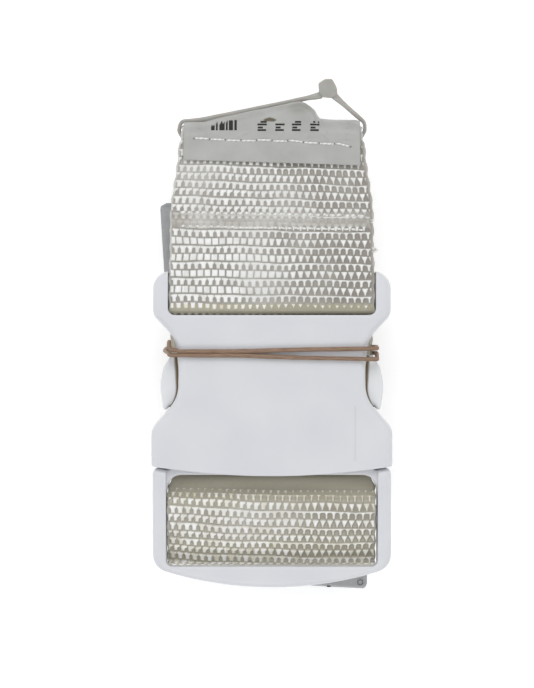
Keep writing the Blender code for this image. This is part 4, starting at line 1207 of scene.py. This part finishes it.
# %% Loose tail: four layers at the back, lifted over the band, with a folded hem
def make_tail():
    turn = PITCH / 2
    lift = BAND_WIDTH + FIT_GAP
    half_lift = BAND_SPREAD / 2 + BAND_WIDTH
    second = (Z_TAIL_1 - Z_TAIL_2) / 2
    third = (Z_TAIL_2 - Z_TAIL_3) / 2
    route = Route(rounded([
        (INNER_END, Z_TAIL_0, 0),
        (PILE_BOTTOM + 1 * MM, Z_TAIL_0, turn),
        (PILE_BOTTOM + 1 * MM, Z_TAIL_1, turn),
        (PILE_TOP, Z_TAIL_1, second),
        (PILE_TOP, Z_TAIL_2, second),
        (PILE_BOTTOM + 2 * MM, Z_TAIL_2, third),
        (PILE_BOTTOM + 2 * MM, Z_TAIL_3, third),
        (BAND_Y - half_lift - 2.5 * MM, Z_TAIL_3, 3 * MM),
        (BAND_Y - half_lift, Z_TAIL_3 + lift, 3 * MM),
        (BAND_Y + half_lift, Z_TAIL_3 + lift, 3 * MM),
        (BAND_Y + half_lift + 2.5 * MM, Z_TAIL_3, 3 * MM),
        (PILE_TOP - 1 * MM, Z_TAIL_3, turn),
        (PILE_TOP - 1 * MM, Z_HEM, turn),
        (PILE_TOP - HEM_LENGTH, Z_HEM, 0),
    ], closed=False))
    top = route.where((PILE_TOP - 2 * MM, Z_TAIL_1))
    top_end = route.where((PILE_TOP - 2 * MM, Z_TAIL_2))
    back = route.where((PILE_BOTTOM + 5 * MM, Z_TAIL_2))
    hem = route.where((PILE_TOP - 2 * MM, Z_HEM))
    seam = route.where((PILE_TOP - HEM_LENGTH + 2 * MM, Z_TAIL_3))
    spans = [(top, 0.5 * MM, 10, 10), (top_end, 0.4 * MM, 10, 2), (back, 0.5 * MM, 10, 10),
             (hem, 0.4 * MM, 10, 2), (route.length, 0.5 * MM, 10, 10)]

    def calm(s):
        return 1 - smoothstep(0.7 * MM, 1.3 * MM, np.abs(s - seam))

    return woven_strip("webbing_tail", route, spans, drawn_in, calm=calm)


tail = make_tail()
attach(tail, "socket")
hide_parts("strap_tail")


# %% [markdown]
# ## Stitching
#
# A sewing machine's thread goes down a needle hole, lies on the cloth for one stitch and
# goes down the next. So each stitch is its own short arched strand whose ends dip into
# the cloth, and a row is many of them with small differences, as a real row has.


# %% A strand and a row of stitches
def strand_mesh(points, radii, sides=10, flat=1.0, closed=False, up=Vector((0, 0, 1)), spin=None):
    """Vertices and faces of a strand; flat below 1 makes it lower than wide."""
    count = len(points)
    vertices, faces = [], []
    normal = up.copy()
    for i, point in enumerate(points):
        ahead = points[(i + 1) % count] if closed or i < count - 1 else point
        behind = points[i - 1] if closed or i > 0 else point
        along = (ahead - behind).normalized()
        normal = normal - along * normal.dot(along)
        normal.normalize()
        other = along.cross(normal)
        turn = spin[i] if spin is not None else 0.0
        for k in range(sides):
            a = 2 * math.pi * k / sides
            p, q = flat * math.cos(a), math.sin(a)
            high = p * math.cos(turn) - q * math.sin(turn)
            wide = p * math.sin(turn) + q * math.cos(turn)
            vertices.append(point + radii[i] * (high * normal + wide * other))
    for i in range(count if closed else count - 1):
        j = (i + 1) % count
        faces += [(i * sides + k, i * sides + (k + 1) % sides,
                   j * sides + (k + 1) % sides, j * sides + k) for k in range(sides)]
    if not closed:
        faces += [tuple(range(sides))[::-1], tuple((count - 1) * sides + k for k in range(sides))]
    return vertices, faces


def joined(name, pieces, *materials, smooth_angle=60):
    """Several strands as one object of separate closed bodies."""
    vertices, faces = [], []
    for more_vertices, more_faces in pieces:
        shift = len(vertices)
        vertices += more_vertices
        faces += [tuple(k + shift for k in f) for f in more_faces]
    mesh = mesh_from(name, vertices, faces)
    return add_object(name, mesh, *materials, smooth_angle=smooth_angle)


def stitch(start, end, radius, dip):
    """One stitch from hole to hole: thin and low at its ends, full in the middle."""
    points, radii = [], []
    for k in range(9):
        t = k / 8
        arch = math.sin(math.pi * t) ** 0.45
        points.append(start.lerp(end, t) + Vector((0, 0, dip * (arch - 1))))
        radii.append(radius * (0.45 + 0.55 * arch))
    return strand_mesh(points, radii, sides=8)


# %% Seams that close the loop round the socket's bar
def seam_row(y_centre, tip, radius, sunk):
    """A row of short stitches, one in each gap between floats, nearly flush with them."""
    pieces = []
    surface = WEBBING_THICKNESS / 2 - sunk
    pitch = 2 * (HALF_WEBBING - EDGE_ROUND) / COLUMNS
    for k in range(1, COLUMNS - 1):
        x = -HALF_WEBBING + EDGE_ROUND + pitch * (k + 0.5) + random.uniform(-0.1, 0.1) * MM
        y = y_centre - tip * x + random.uniform(-0.08, 0.08) * MM
        reach = random.uniform(0.5, 0.68) * MM
        drop = random.uniform(-0.1, 0.14) * MM
        ends = [Vector((x - reach, y + drop, front_run_z(y, surface))),
                Vector((x + reach, y - drop, front_run_z(y, surface)))]
        pieces.append(stitch(ends[0], ends[1], radius, 0.2 * MM))
    return pieces


for name, node, y_centre, radius, sunk in (
    ("seam_stitches_upper", "loop_seam_upper", SEAM + 1.5 * MM, 0.4 * MM, 0.2 * MM),
    ("seam_stitches_lower", "loop_seam_lower", SEAM - 1.9 * MM, 0.3 * MM, 0.28 * MM),
):
    seam = joined(name, seam_row(y_centre, 0.02, radius, sunk), white_thread)
    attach(seam, "socket")
    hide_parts(node)


# %% Hem stitches on the tail's outer layer
HEM_STITCH = 2.6 * MM
HEM_MARGIN = 3 * MM               # from the webbing's edge to the first stitch


def hem_row(y):
    pieces = []
    for k in range(int(2 * (HALF_WEBBING - HEM_MARGIN) / HEM_STITCH)):
        x = -HALF_WEBBING + HEM_MARGIN + HEM_STITCH * k
        start = Vector((x, y + random.uniform(-0.05, 0.05) * MM, 0.22 * MM))
        end = start + Vector((HEM_STITCH * 0.9, 0, 0))
        pieces.append(stitch(start, end, 0.2 * MM, -0.2 * MM))
    return pieces


hem_y = PILE_TOP - HEM_LENGTH + 2 * MM
hem_stitches = joined("hem_stitches", hem_row(hem_y) + hem_row(hem_y + 3 * MM), white_thread)
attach(hem_stitches, "socket")

# %% [markdown]
# ## The label
#
# The label is satin tape sewn to the webbing. It lies flat on the front run, turns over
# the top fold, and there the tag loop's strand has pulled it out into a nose. So its
# surface is worked out column by column: each column has its own turn, and the nose is
# how far that turn reaches. It has creases, needle holes and a slit.

# %% Sizes of the label
LABEL_WIDTH = label_high.x - label_low.x
LABEL_THICKNESS = 0.25 * MM
LABEL_END = label_low.y + 0.8 * MM
LABEL_SEAM = 47.8 * MM
LABEL_BACK_END = label_low.y
STRAND = 1.2 * MM
TAG_HEAD_X = 13.9 * MM
TAG_TOP = tag_high.y
TAG_LIFT = math.radians(8)
HALF_TOP = HALF_WEBBING - WEBBING_PINCH / 2


# %% The tag loop's line, and how far the label is pulled out by it
def tag_corners():
    """Through the fold, out past its narrow edges and up to the head, as (x, radius)."""
    inside = HALF_TOP - FOLD_NARROWS - 1.4 * MM
    side = HALF_TOP - FOLD_NARROWS + 0.75 * MM
    tip = FOLD_RADIUS + WEBBING_THICKNESS / 2
    head = TAG_TOP - FOLD_CENTRE
    return [
        (TAG_HEAD_X - 1.6 * MM, head - 4.0 * MM, 0),
        (-17.0 * MM, tip + 1.25 * MM, 14 * MM),
        (-side + 0.5 * MM, tip + 0.85 * MM, 1.2 * MM),
        (-side, tip - 1.5 * MM, 1.5 * MM),
        (-inside, 0, 1.5 * MM),
        (inside, 0, 1.5 * MM),
        (side, tip - 1.5 * MM, 1.5 * MM),
        (side - 0.1 * MM, tip + 0.6 * MM, 1.5 * MM),
        (20.0 * MM, tip + 3.2 * MM, 6 * MM),
        (TAG_HEAD_X + 1.5 * MM, head - 4.1 * MM, 0),
    ]


# The nose's outline: how far the label is pulled out (second) at x (first), in mm.
NOSE = [(-21.6, 0.45), (-19.0, 0.5), (-17.0, 0.5), (-11.2, 1.75), (-7.1, 2.65), (0.0, 4.0),
        (5.0, 5.05), (7.0, 5.25), (8.2, 4.9), (9.6, 4.0), (10.6, 3.2), (11.1, 2.2),
        (11.9, 1.2), (14.0, 1.05), (20.6, 1.0), (21.6, 0.7)]


def label_reach(x):
    """How far the label's turn reaches past the fold's axis: the strand has pulled it
    out into a nose, and the label lies against the strand as far as the nose's tip."""
    pulled = np.interp(x / MM, [p[0] for p in NOSE], [p[1] for p in NOSE]) * MM
    return FOLD_RADIUS + WEBBING_THICKNESS / 2 + pulled


# %% Label surface
def label_column(x):
    """The label's section at x, as points in (y, z) from its front end to its back end."""
    away = WEBBING_THICKNESS / 2 + FIT_GAP + LABEL_THICKNESS / 2
    radius = FOLD_RADIUS + away
    reach = label_reach(x)
    more = max(reach - radius, 0)
    edge = FOLD_CENTRE + reach
    back_z = Z_STANDING_0 - away
    start = LABEL_END - 1.05 * MM - 0.032 * x
    nose_front = front_run_z(edge, away) + 0.1 * more
    nose_back = back_z + min(1.15 * more, nose_front - back_z - 3.2 * MM)
    turn = min(radius, 0.46 * (nose_front - nose_back))
    line = rounded([(start, front_run_z(start, away), 0), (edge, nose_front, turn),
                    (edge, nose_back, turn), (LABEL_BACK_END, back_z, 0)], closed=False)
    return Route(line)


def creases(x, y):
    """Sharp small folds that start at the sewing line, from 0 to 1."""
    height = 0.0
    for x0, y0, x1, y1, width in CREASES:
        run = Vector((x1 - x0, y1 - y0))
        t = min(max(Vector((x / MM - x0, y / MM - y0)).dot(run) / run.length_squared, 0), 1)
        away = math.hypot(x / MM - x0 - run.x * t, y / MM - y0 - run.y * t)
        height = max(height, max(0, 1 - away / width) * math.sin(math.pi * min(t + 0.15, 1)))
    return height


# Each crease's two ends (x, y, x, y) and half its width, in millimetres.
CREASES = [
    (4.6, 44.6, 3.9, 46.2, 0.4), (12.3, 49.8, 15.2, 46.9, 0.5), (13.6, 49.9, 13.0, 48.4, 0.3),
    (-9.0, 48.4, -5.0, 50.2, 0.6), (1.5, 48.2, 3.4, 51.0, 0.5), (-16.5, 48.9, -14.2, 50.6, 0.5),
    (8.0, 48.0, 9.4, 49.7, 0.4), (17.0, 51.4, 15.8, 48.6, 0.4), (-19.6, 52.2, -17.0, 51.6, 0.5),
]


def make_label():
    across, along = 150, 110
    xs = np.linspace(-LABEL_WIDTH / 2, LABEL_WIDTH / 2, across + 1)
    grid = []
    for x in xs:
        column = label_column(float(x))
        front = LABEL_FRONT_SHARE * column.length
        behind = np.linspace(front, column.length, 41)[1:]
        s = np.concatenate([np.linspace(0, front, along), behind])
        point, normal = column.point(s), column.normal(s, 0.4 * MM)
        for k in range(len(s)):
            place = Vector((x, s[k], 0))
            wave = noise.noise(place / (7 * MM)) * 0.2 * MM
            wave += noise.noise(place / (3 * MM)) * 0.06 * MM
            crease = creases(float(x), float(point[k][0])) * (point[k][1] > FOLD_AXIS_Z)
            free = min(s[k] / (1.5 * MM), 1) * (0.3 + 0.7 * (point[k][0] > LABEL_SEAM))
            point[k] += normal[k] * (wave * free + 0.12 * MM + crease * 0.14 * MM)
        grid.append(np.concatenate([np.full((len(s), 1), x), point, s[:, None]], 1))
    grid = np.array(grid)
    mesh = mesh_from("satin_label", grid[:, :, :3].reshape(-1, 3), grid_faces(*grid.shape[:2]))
    flat = grid.reshape(-1, 4)
    strip = np.stack([flat[:, 0], flat[:, 3], 0 * flat[:, 0]], -1)
    add_attribute(mesh, "strip", "FLOAT_VECTOR", "vector", strip)
    add_attribute(mesh, "hollow", "FLOAT", "value", needle_marks_and_shade(flat))
    label = add_object("satin_label", mesh, label_satin, smooth_angle=180)
    thicken(label, LABEL_THICKNESS, 0)
    return label, grid


# %% Needle holes and the slit
LABEL_FRONT_SHARE = 0.62
STITCH_LENGTH = 3.5 * MM
STITCH_GAP = 0.35 * MM
STITCH_START = -19.0 * MM
STITCH_COUNT = 10
# The sewing line's corners (x, y), in millimetres.
SEWING_LINE = [(-19.0, 48.2), (-10.1, 47.85), (4.8, 47.65), (8.9, 47.15), (16.5, 46.85),
               (19.2, 46.15)]


def stitch_line(x):
    """The sewing line dips to the right, as the label was sewn on by hand."""
    return float(np.interp(x / MM, *zip(*SEWING_LINE))) * MM


def needle_marks_and_shade(flat):
    """1 where the cloth is pierced or slit, 0 elsewhere; old stitch lines are faint dashes,
    painted shade darkens a patch inside the nose, and the nose's edge is darker left of
    x = 5 mm.
    """
    x, y, z = flat[:, 0], flat[:, 1], flat[:, 2]
    front = z > FOLD_AXIS_Z + 0.5 * MM
    mark = np.zeros(len(x))
    for k in range(STITCH_COUNT + 1):
        hole_x = STITCH_START + k * (STITCH_LENGTH + STITCH_GAP) - STITCH_GAP / 2
        away = np.hypot(x - hole_x, y - stitch_line(hole_x))
        mark = np.maximum(mark, (1 - smoothstep(0.12 * MM, 0.36 * MM, away)) * front)
    for side, low, high in ((-18.1, 49.6, 52.2), (18.6, 46.9, 52.6)):
        dash = smoothstep(0.35, 0.5, np.abs((y / MM * 0.75) % 1 - 0.5))
        dash = dash * (y > low * MM) * (y < high * MM)
        line = 1 - smoothstep(0.1 * MM, 0.22 * MM, np.abs(x - side * MM - 0.1 * (y - 50 * MM)))
        mark = np.maximum(mark, 0.4 * dash * line * front)
    slit_y = y - 52.95 * MM + 0.12 * np.abs(x + 0.5 * MM)
    slit = np.hypot((x + 0.5 * MM) / (1.65 * MM), slit_y / (0.5 * MM))
    mark = np.maximum(mark, (1 - smoothstep(0.8, 1.1, slit)) * front)
    # Painted shadow: a darker patch inside the nose, where its right part lies in shade.
    shade = np.hypot((x - 6.6 * MM) / (4.2 * MM), (y - 56.2 * MM) / (2.6 * MM))
    mark = np.maximum(mark, 0.36 * (1 - smoothstep(0.2, 1.0, shade)) * front)
    nose = np.array([label_reach(v) for v in x]) + FOLD_CENTRE
    # Darker towards the nose's edge, left of x = 5 mm.
    rim = (1 - smoothstep(0.1 * MM, 1.3 * MM, nose - y)) * (x < 5 * MM)
    return np.maximum(mark, 0.25 * rim * front)


label, label_grid = make_label()
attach(label, "socket")
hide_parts("care_label")


# %% What lies on the label
def on_label(x, y, lift):
    """A place just above the label's front, at x and y."""
    column = label_grid[int(np.argmin(np.abs(label_grid[:, 0, 0] - x)))]
    front = column[:int(np.argmax(column[:, 1])) + 1]
    surface = float(np.interp(y, front[:, 1], front[:, 2]))
    return Vector((x, y, surface + LABEL_THICKNESS / 2 + lift))


def label_stitches():
    radius = 0.24 * MM
    pieces = []
    for k in range(STITCH_COUNT):
        x = STITCH_START + k * (STITCH_LENGTH + STITCH_GAP)
        points, radii = [], []
        slip = random.uniform(-0.12, 0.12) * MM
        for step in range(11):
            t = step / 10
            arch = math.sin(math.pi * t) ** 0.4
            xx = x + STITCH_LENGTH * t
            points.append(on_label(xx, stitch_line(xx) + slip, radius * (0.9 * arch - 0.5)))
            radii.append(radius * (0.5 + 0.5 * arch))
        pieces.append(strand_mesh(points, radii, sides=8))
    return pieces


label_thread = joined("label_stitches", label_stitches(), white_thread)
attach(label_thread, "socket")
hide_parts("label_thread")


# %% Print: plain bars where a label's text stands, so that nothing can be read
INK_THICKNESS = 0.03 * MM
BAR_LENGTH = 2.6
STROKE = 0.44                     # how tall a short stroke is, in millimetres


def printed_bar(x, y, width, length):
    """A patch of ink that follows the label, width along X and length along Y."""
    across, along = 6, max(3, int(length / (0.3 * MM)))
    vertices = [on_label(x + width * (i / across - 0.5), y + length * (j / along), 0.05 * MM)
                for i in range(across + 1) for j in range(along + 1)]
    return vertices, grid_faces(across + 1, along + 1)


def printed_marks():
    """A block of bars, and four columns of short strokes like close lines of text."""
    pieces = []
    x = -15.0
    for width, gap in ((0.9, 0.3), (0.45, 0.4), (1.3, 0.3), (0.45, 0.3), (1.0, 0.35),
                       (0.6, 0.0)):
        pieces.append(printed_bar((x + width / 2) * MM, 50.3 * MM, width * MM, BAR_LENGTH * MM))
        x += width + gap
    for x, strokes in ((-2.4, 4), (2.0, 3), (6.1, 4), (10.6, 4)):
        y = 50.1
        for k in range(strokes):
            width = (2.3, 1.5, 2.1, 1.2)[(k + int(x)) % 4]
            shift = (0.0, 0.35, -0.1, -0.45)[(k + int(x)) % 4]
            pieces.append(printed_bar((x + shift) * MM, y * MM, width * MM, STROKE * MM))
            y += STROKE + (0.2, 0.32, 0.2)[k % 3]
    return pieces


print_marks = joined("label_print", printed_marks(), label_ink)
thicken(print_marks, INK_THICKNESS, -1)
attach(print_marks, "socket")

# %% [markdown]
# ## The tag loop
#
# The hang loop is moulded in one shot of nylon: a small block with a strand that was
# drawn out of it, pushed through the fold and snapped back in. Its strand isn't round or
# even, and it meets the block in a fillet, so strand and block are melted together by a
# voxel mesh.


# %% Tag loop
def lifted(x, radius, depth=0.0):
    """A place on the tag loop's plane, which is tipped up about the fold's axis."""
    y = FOLD_CENTRE + radius * math.cos(TAG_LIFT) - depth * math.sin(TAG_LIFT)
    z = FOLD_AXIS_Z + radius * math.sin(TAG_LIFT) + depth * math.cos(TAG_LIFT)
    return Vector((x, y, z))


# The head's corners (x, y, radius), in millimetres from the top of its middle.
HEAD_OUTLINE = [(-0.75, 0.0, 0.4), (1.0, 0.05, 0.4), (1.8, -1.25, 0.5), (2.3, -2.5, 0.5),
                (2.3, -3.8, 0.5), (0.8, -4.7, 0.6), (-1.3, -4.5, 0.6), (-2.2, -3.3, 0.5),
                (-2.4, -1.1, 0.5)]


def make_tag_loop():
    route = Route(rounded(tag_corners(), closed=False, arc_step=math.radians(8)))
    s = np.linspace(0, route.length, int(route.length / (0.4 * MM)))
    points = [lifted(p[0], p[1]) for p in route.point(s)]
    radii = []
    for k, p in enumerate(points):
        above = p.y > FOLD_CENTRE + 6 * MM
        shoulder = math.exp(-((p.x + 14 * MM) / (5 * MM)) ** 2) if above else 0
        wobble = noise.noise(p / (4 * MM))
        near_head = math.exp(-(min(s[k], route.length - s[k]) / (2.2 * MM)) ** 2)
        beside = 1 - smoothstep(1.0 * MM, 2.5 * MM, p.y - FOLD_CENTRE - FOLD_RADIUS)
        share = 1.06 + 0.08 * wobble + 0.12 * shoulder + 0.5 * near_head - 0.2 * beside
        radii.append(float(STRAND / 2 * share))
    vertices, faces = strand_mesh(points, radii, sides=12, flat=0.85)
    loop = add_object("nylon_tag_loop", mesh_from("nylon_tag_loop", vertices, faces), tag_nylon)
    top = TAG_TOP - FOLD_CENTRE
    corners = [(TAG_HEAD_X + x * MM, top + y * MM, r * MM) for x, y, r in HEAD_OUTLINE]
    head = prism("tag_head", rounded(corners, closed=True), -1.5 * MM, 1.5 * MM)
    for vertex in head.vertices:
        vertex.co = lifted(vertex.co.x, vertex.co.y, vertex.co.z)
    combine(loop, head, "UNION")
    soften(loop, 0.16 * MM, 5)
    return loop


tag_loop = make_tag_loop()
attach(tag_loop, "tag_loop")
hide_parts("tag_loop")

# %% [markdown]
# ## The rubber band
#
# One rubber band goes round twice. Its section is a rounded square, because it was cut
# from a tube, and it twists where the two turns cross on the front.

# %% Band
WAIST_INSET = 1.5 * MM


def band_front(x, turn):
    """Where the two turns lie on the front, as y at x: they spread towards the right."""
    share = (x + HALF_WEBBING) / (2 * HALF_WEBBING)
    if turn > 0:
        return BAND_Y + (-0.35 + 0.75 * share) * MM
    return BAND_Y + (-1.2 - 1.0 * share) * MM


def band_points():
    r = BAND_WIDTH / 2
    side = HALF_WEBBING + FIT_GAP + r
    waist = HALF_WEBBING - WAIST_INSET + FIT_GAP + r + 0.6 * MM
    low = r + 0.05 * MM
    high = BUCKLE_FRONT + FIT_GAP / 2 + r
    route = rounded([(0, low, 0), (side, low, 1.5 * MM), (side, BUCKLE_BACK, 3 * MM),
                     (waist + 0.7 * MM, high, 1.2 * MM), (-waist, high, 1.5 * MM),
                     (-side, BUCKLE_BACK, 3 * MM), (-side, low, 1.5 * MM)], True, math.radians(10))
    ring = Route(route + route[:1])
    samples = ring.point(np.linspace(0, ring.length, 321)[:-1])
    points, spin = [], []
    middle = high - 5 * MM
    for turn in (1, -1):
        changed = 0.0
        for x, z in samples:
            on_front = smoothstep(middle, high - 0.4 * MM, z)
            if x < -waist + 2 * MM and z < high - 4 * MM:
                changed = min((high - 4 * MM - z) / (high - low - 8 * MM), 1)
            down = BAND_Y + turn * BAND_SPREAD / 2 * (1 - 2 * changed)
            left_hook = 1.6 * MM * math.exp(-((z - high + 3 * MM) / (2.4 * MM)) ** 2)
            left_hook *= x < -waist + 2 * MM
            y = down + (band_front(x, turn) - down) * on_front + left_hook * (turn > 0)
            outward = 0.75 * MM * math.sin(math.pi * changed) if turn < 0 else 0
            crossing = 0.5 * MM * math.exp(-((x + 8 * MM) / (9 * MM)) ** 2) * on_front
            y += crossing * (0.5 if turn < 0 else -0.35)
            points.append(Vector((x - outward, y, z + 0.25 * crossing * (turn < 0))))
            spin.append(0.8 * math.sin(x / (7 * MM) + turn) * on_front)
    return points, spin


def make_band():
    points, spin = band_points()
    sides = 12
    r = BAND_WIDTH / 2
    radii = [r * (1 + 0.06 * noise.noise(p / (3 * MM))) for p in points]
    vertices, faces = strand_mesh(points, radii, sides=sides, flat=0.9, closed=True, spin=spin)
    mesh = mesh_from("tan_rubber_band", vertices, faces)
    lengths = np.cumsum([(points[i] - points[i - 1]).length for i in range(len(points))])
    strip = [(r * 6.28 * k / sides, length, 0) for length in lengths for k in range(sides)]
    add_attribute(mesh, "strip", "FLOAT_VECTOR", "vector", np.array(strip))
    return add_object("tan_rubber_band", mesh, band_rubber, smooth_angle=180)


band = make_band()
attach(band, "socket")
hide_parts("rubber_band")

# %% [markdown]
# ## The leaflet
#
# A sheet of uncoated paper, folded in two with the fold at the foot, lies between two
# layers of the pile. Only a strip at the left and a corner at the foot stick out, where
# paper waves a little and its corners are trimmed round.

# %% Leaflet
PAPER = 0.25 * MM
LEAFLET_LEFT = leaflet_low.x
LEAFLET_RIGHT = leaflet_high.x
LEAFLET_TOP = leaflet_high.y
LEAFLET_FOOT = leaflet_low.y
CORNER = 1.6 * MM


def leaflet_edges(y):
    start = BAND_Y + 4 * MM
    out = min(max((y - start) / (12 * MM), 0), 1)
    tucked = -HALF_WEBBING + FIT_GAP
    lean = 0.063 * (LEAFLET_TOP - y)
    left = min(tucked + (LEAFLET_LEFT - tucked) * out ** 0.6 + lean, tucked)
    trim = 0.0
    for end in (y - LEAFLET_FOOT, LEAFLET_TOP - y):
        if end < CORNER:
            trim = CORNER - math.sqrt(max(CORNER ** 2 - (CORNER - end) ** 2, 0))
    tucked_foot = 4 * MM * float(smoothstep(-45 * MM, LEAFLET_FOOT + 4 * MM, y))
    return left + trim + tucked_foot, LEAFLET_RIGHT - trim


def leaflet_tilt(x, y):
    """The leaflet went in a little askew, so its foot is lower on the right."""
    near_foot = smoothstep(-40 * MM, LEAFLET_FOOT + 2 * MM, y)
    return float(near_foot) * (0.06 * (LEAFLET_RIGHT - x) - 0.85 * MM)


def make_leaflet():
    low = leaflet_low.z + PAPER / 2
    high = leaflet_high.z - PAPER / 2
    turn = (high - low) / 2
    foot = LEAFLET_FOOT + PAPER / 2
    route = Route(rounded([(LEAFLET_TOP, low, 0), (foot, low, turn), (foot, high, turn),
                           (LEAFLET_TOP - 1 * MM, high, 0)], closed=False))
    s = np.linspace(0, route.length, 260)
    points = route.point(s)
    across = 48
    vertices = []
    for (y, z), at in zip(points, s):
        left, right = leaflet_edges(float(y))
        for k in range(across + 1):
            x = left + (right - left) * k / across
            outside = max(abs(x) - HALF_WEBBING, -54 * MM - y, 0)
            wave = noise.noise(Vector((x, y, 0)) / (9 * MM)) * min(outside, 3 * MM) * 0.25
            vertices.append((x, y + leaflet_tilt(x, float(y)), z + wave))
    n = across + 1
    faces = [(i * n + j, i * n + j + 1, (i + 1) * n + j + 1, (i + 1) * n + j)
             for i in range(len(points) - 1) for j in range(across)]
    mesh = mesh_from("folded_leaflet", vertices, faces)
    sheet = add_object("folded_leaflet", mesh, leaflet_paper)
    thicken(sheet, PAPER, 0)
    return sheet, route.length


leaflet, leaflet_length = make_leaflet()
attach(leaflet, "socket")
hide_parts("leaflet")


# %% A plain printer's mark and a ring at the leaflet's foot
RING_X = 22.4 * MM
RING_OUTSIDE = 0.75 * MM
RING_INSIDE = 0.6 * MM
RING_POINTS = 24


def leaflet_marks():
    z = leaflet_high.z + 0.06 * MM
    y = LEAFLET_FOOT + 0.9 * MM
    box = [(14.0, 0.75), (14.9, 0.75), (14.9, 1.6), (14.0, 1.6)]
    pieces = [([Vector((a * MM, y + (b - 1.95) * MM, z)) for a, b in box], [(0, 1, 2, 3)])]
    turns = [2 * math.pi * k / RING_POINTS for k in range(RING_POINTS)]
    ring = [Vector((RING_X + r * math.cos(a), y + r * math.sin(a), z))
            for r in (RING_OUTSIDE, RING_INSIDE) for a in turns]
    n = RING_POINTS
    pieces.append((ring, [(k, (k + 1) % n, n + (k + 1) % n, n + k) for k in range(n)]))
    return pieces


paper_marks = joined("leaflet_print", leaflet_marks(), label_ink)
thicken(paper_marks, INK_THICKNESS, -1)
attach(paper_marks, "socket")

# %% [markdown]
# ## Loose filaments
#
# Cut webbing frays: a few filaments stand out of the right edge, each thinner than a
# hair at its tip.


# %% Frayed filaments
def frayed_tuft(x, y, count, length):
    pieces = []
    for _ in range(count):
        root = Vector((x + random.uniform(-0.2, 0.1) * MM,
                       y + random.uniform(-0.7, 0.7) * MM, 0))
        root.z = front_run_z(root.y, random.uniform(-0.4, 0.3) * MM)
        tip = Vector((x + length * random.uniform(0.55, 1.0),
                      y + random.uniform(-0.3, 0.3) * MM, root.z))
        bow = Vector((0, random.uniform(-0.5, 0.5) * MM, random.uniform(0, 0.4) * MM))
        points = [root.lerp(tip, k / 8) + bow * math.sin(math.pi * k / 8) for k in range(9)]
        radii = [0.13 * MM * (1 - 0.75 * k / 8) for k in range(9)]
        pieces.append(strand_mesh(points, radii, sides=6))
    return pieces


fray = joined("frayed_filaments", frayed_tuft(HALF_WEBBING - 0.5 * MM, 20.6 * MM, 14, 1.9 * MM)
              + frayed_tuft(HALF_WEBBING - 0.9 * MM, 28.0 * MM, 8, 1.2 * MM), white_thread)
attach(fray, "socket")

# %% [markdown]
# ## Cloth facts
#
# Each sheet's length is printed. The lengths are those of the routes above, measured as
# the pieces were made.

# %% Sheet lengths
label_length = float(np.mean([label_column(float(x)).length for x in label_grid[:, 0, 0]]))
for name, length in {**strip_lengths, "label": label_length, "leaflet": leaflet_length}.items():
    print("%s: %.0f mm long" % (name, length / MM))
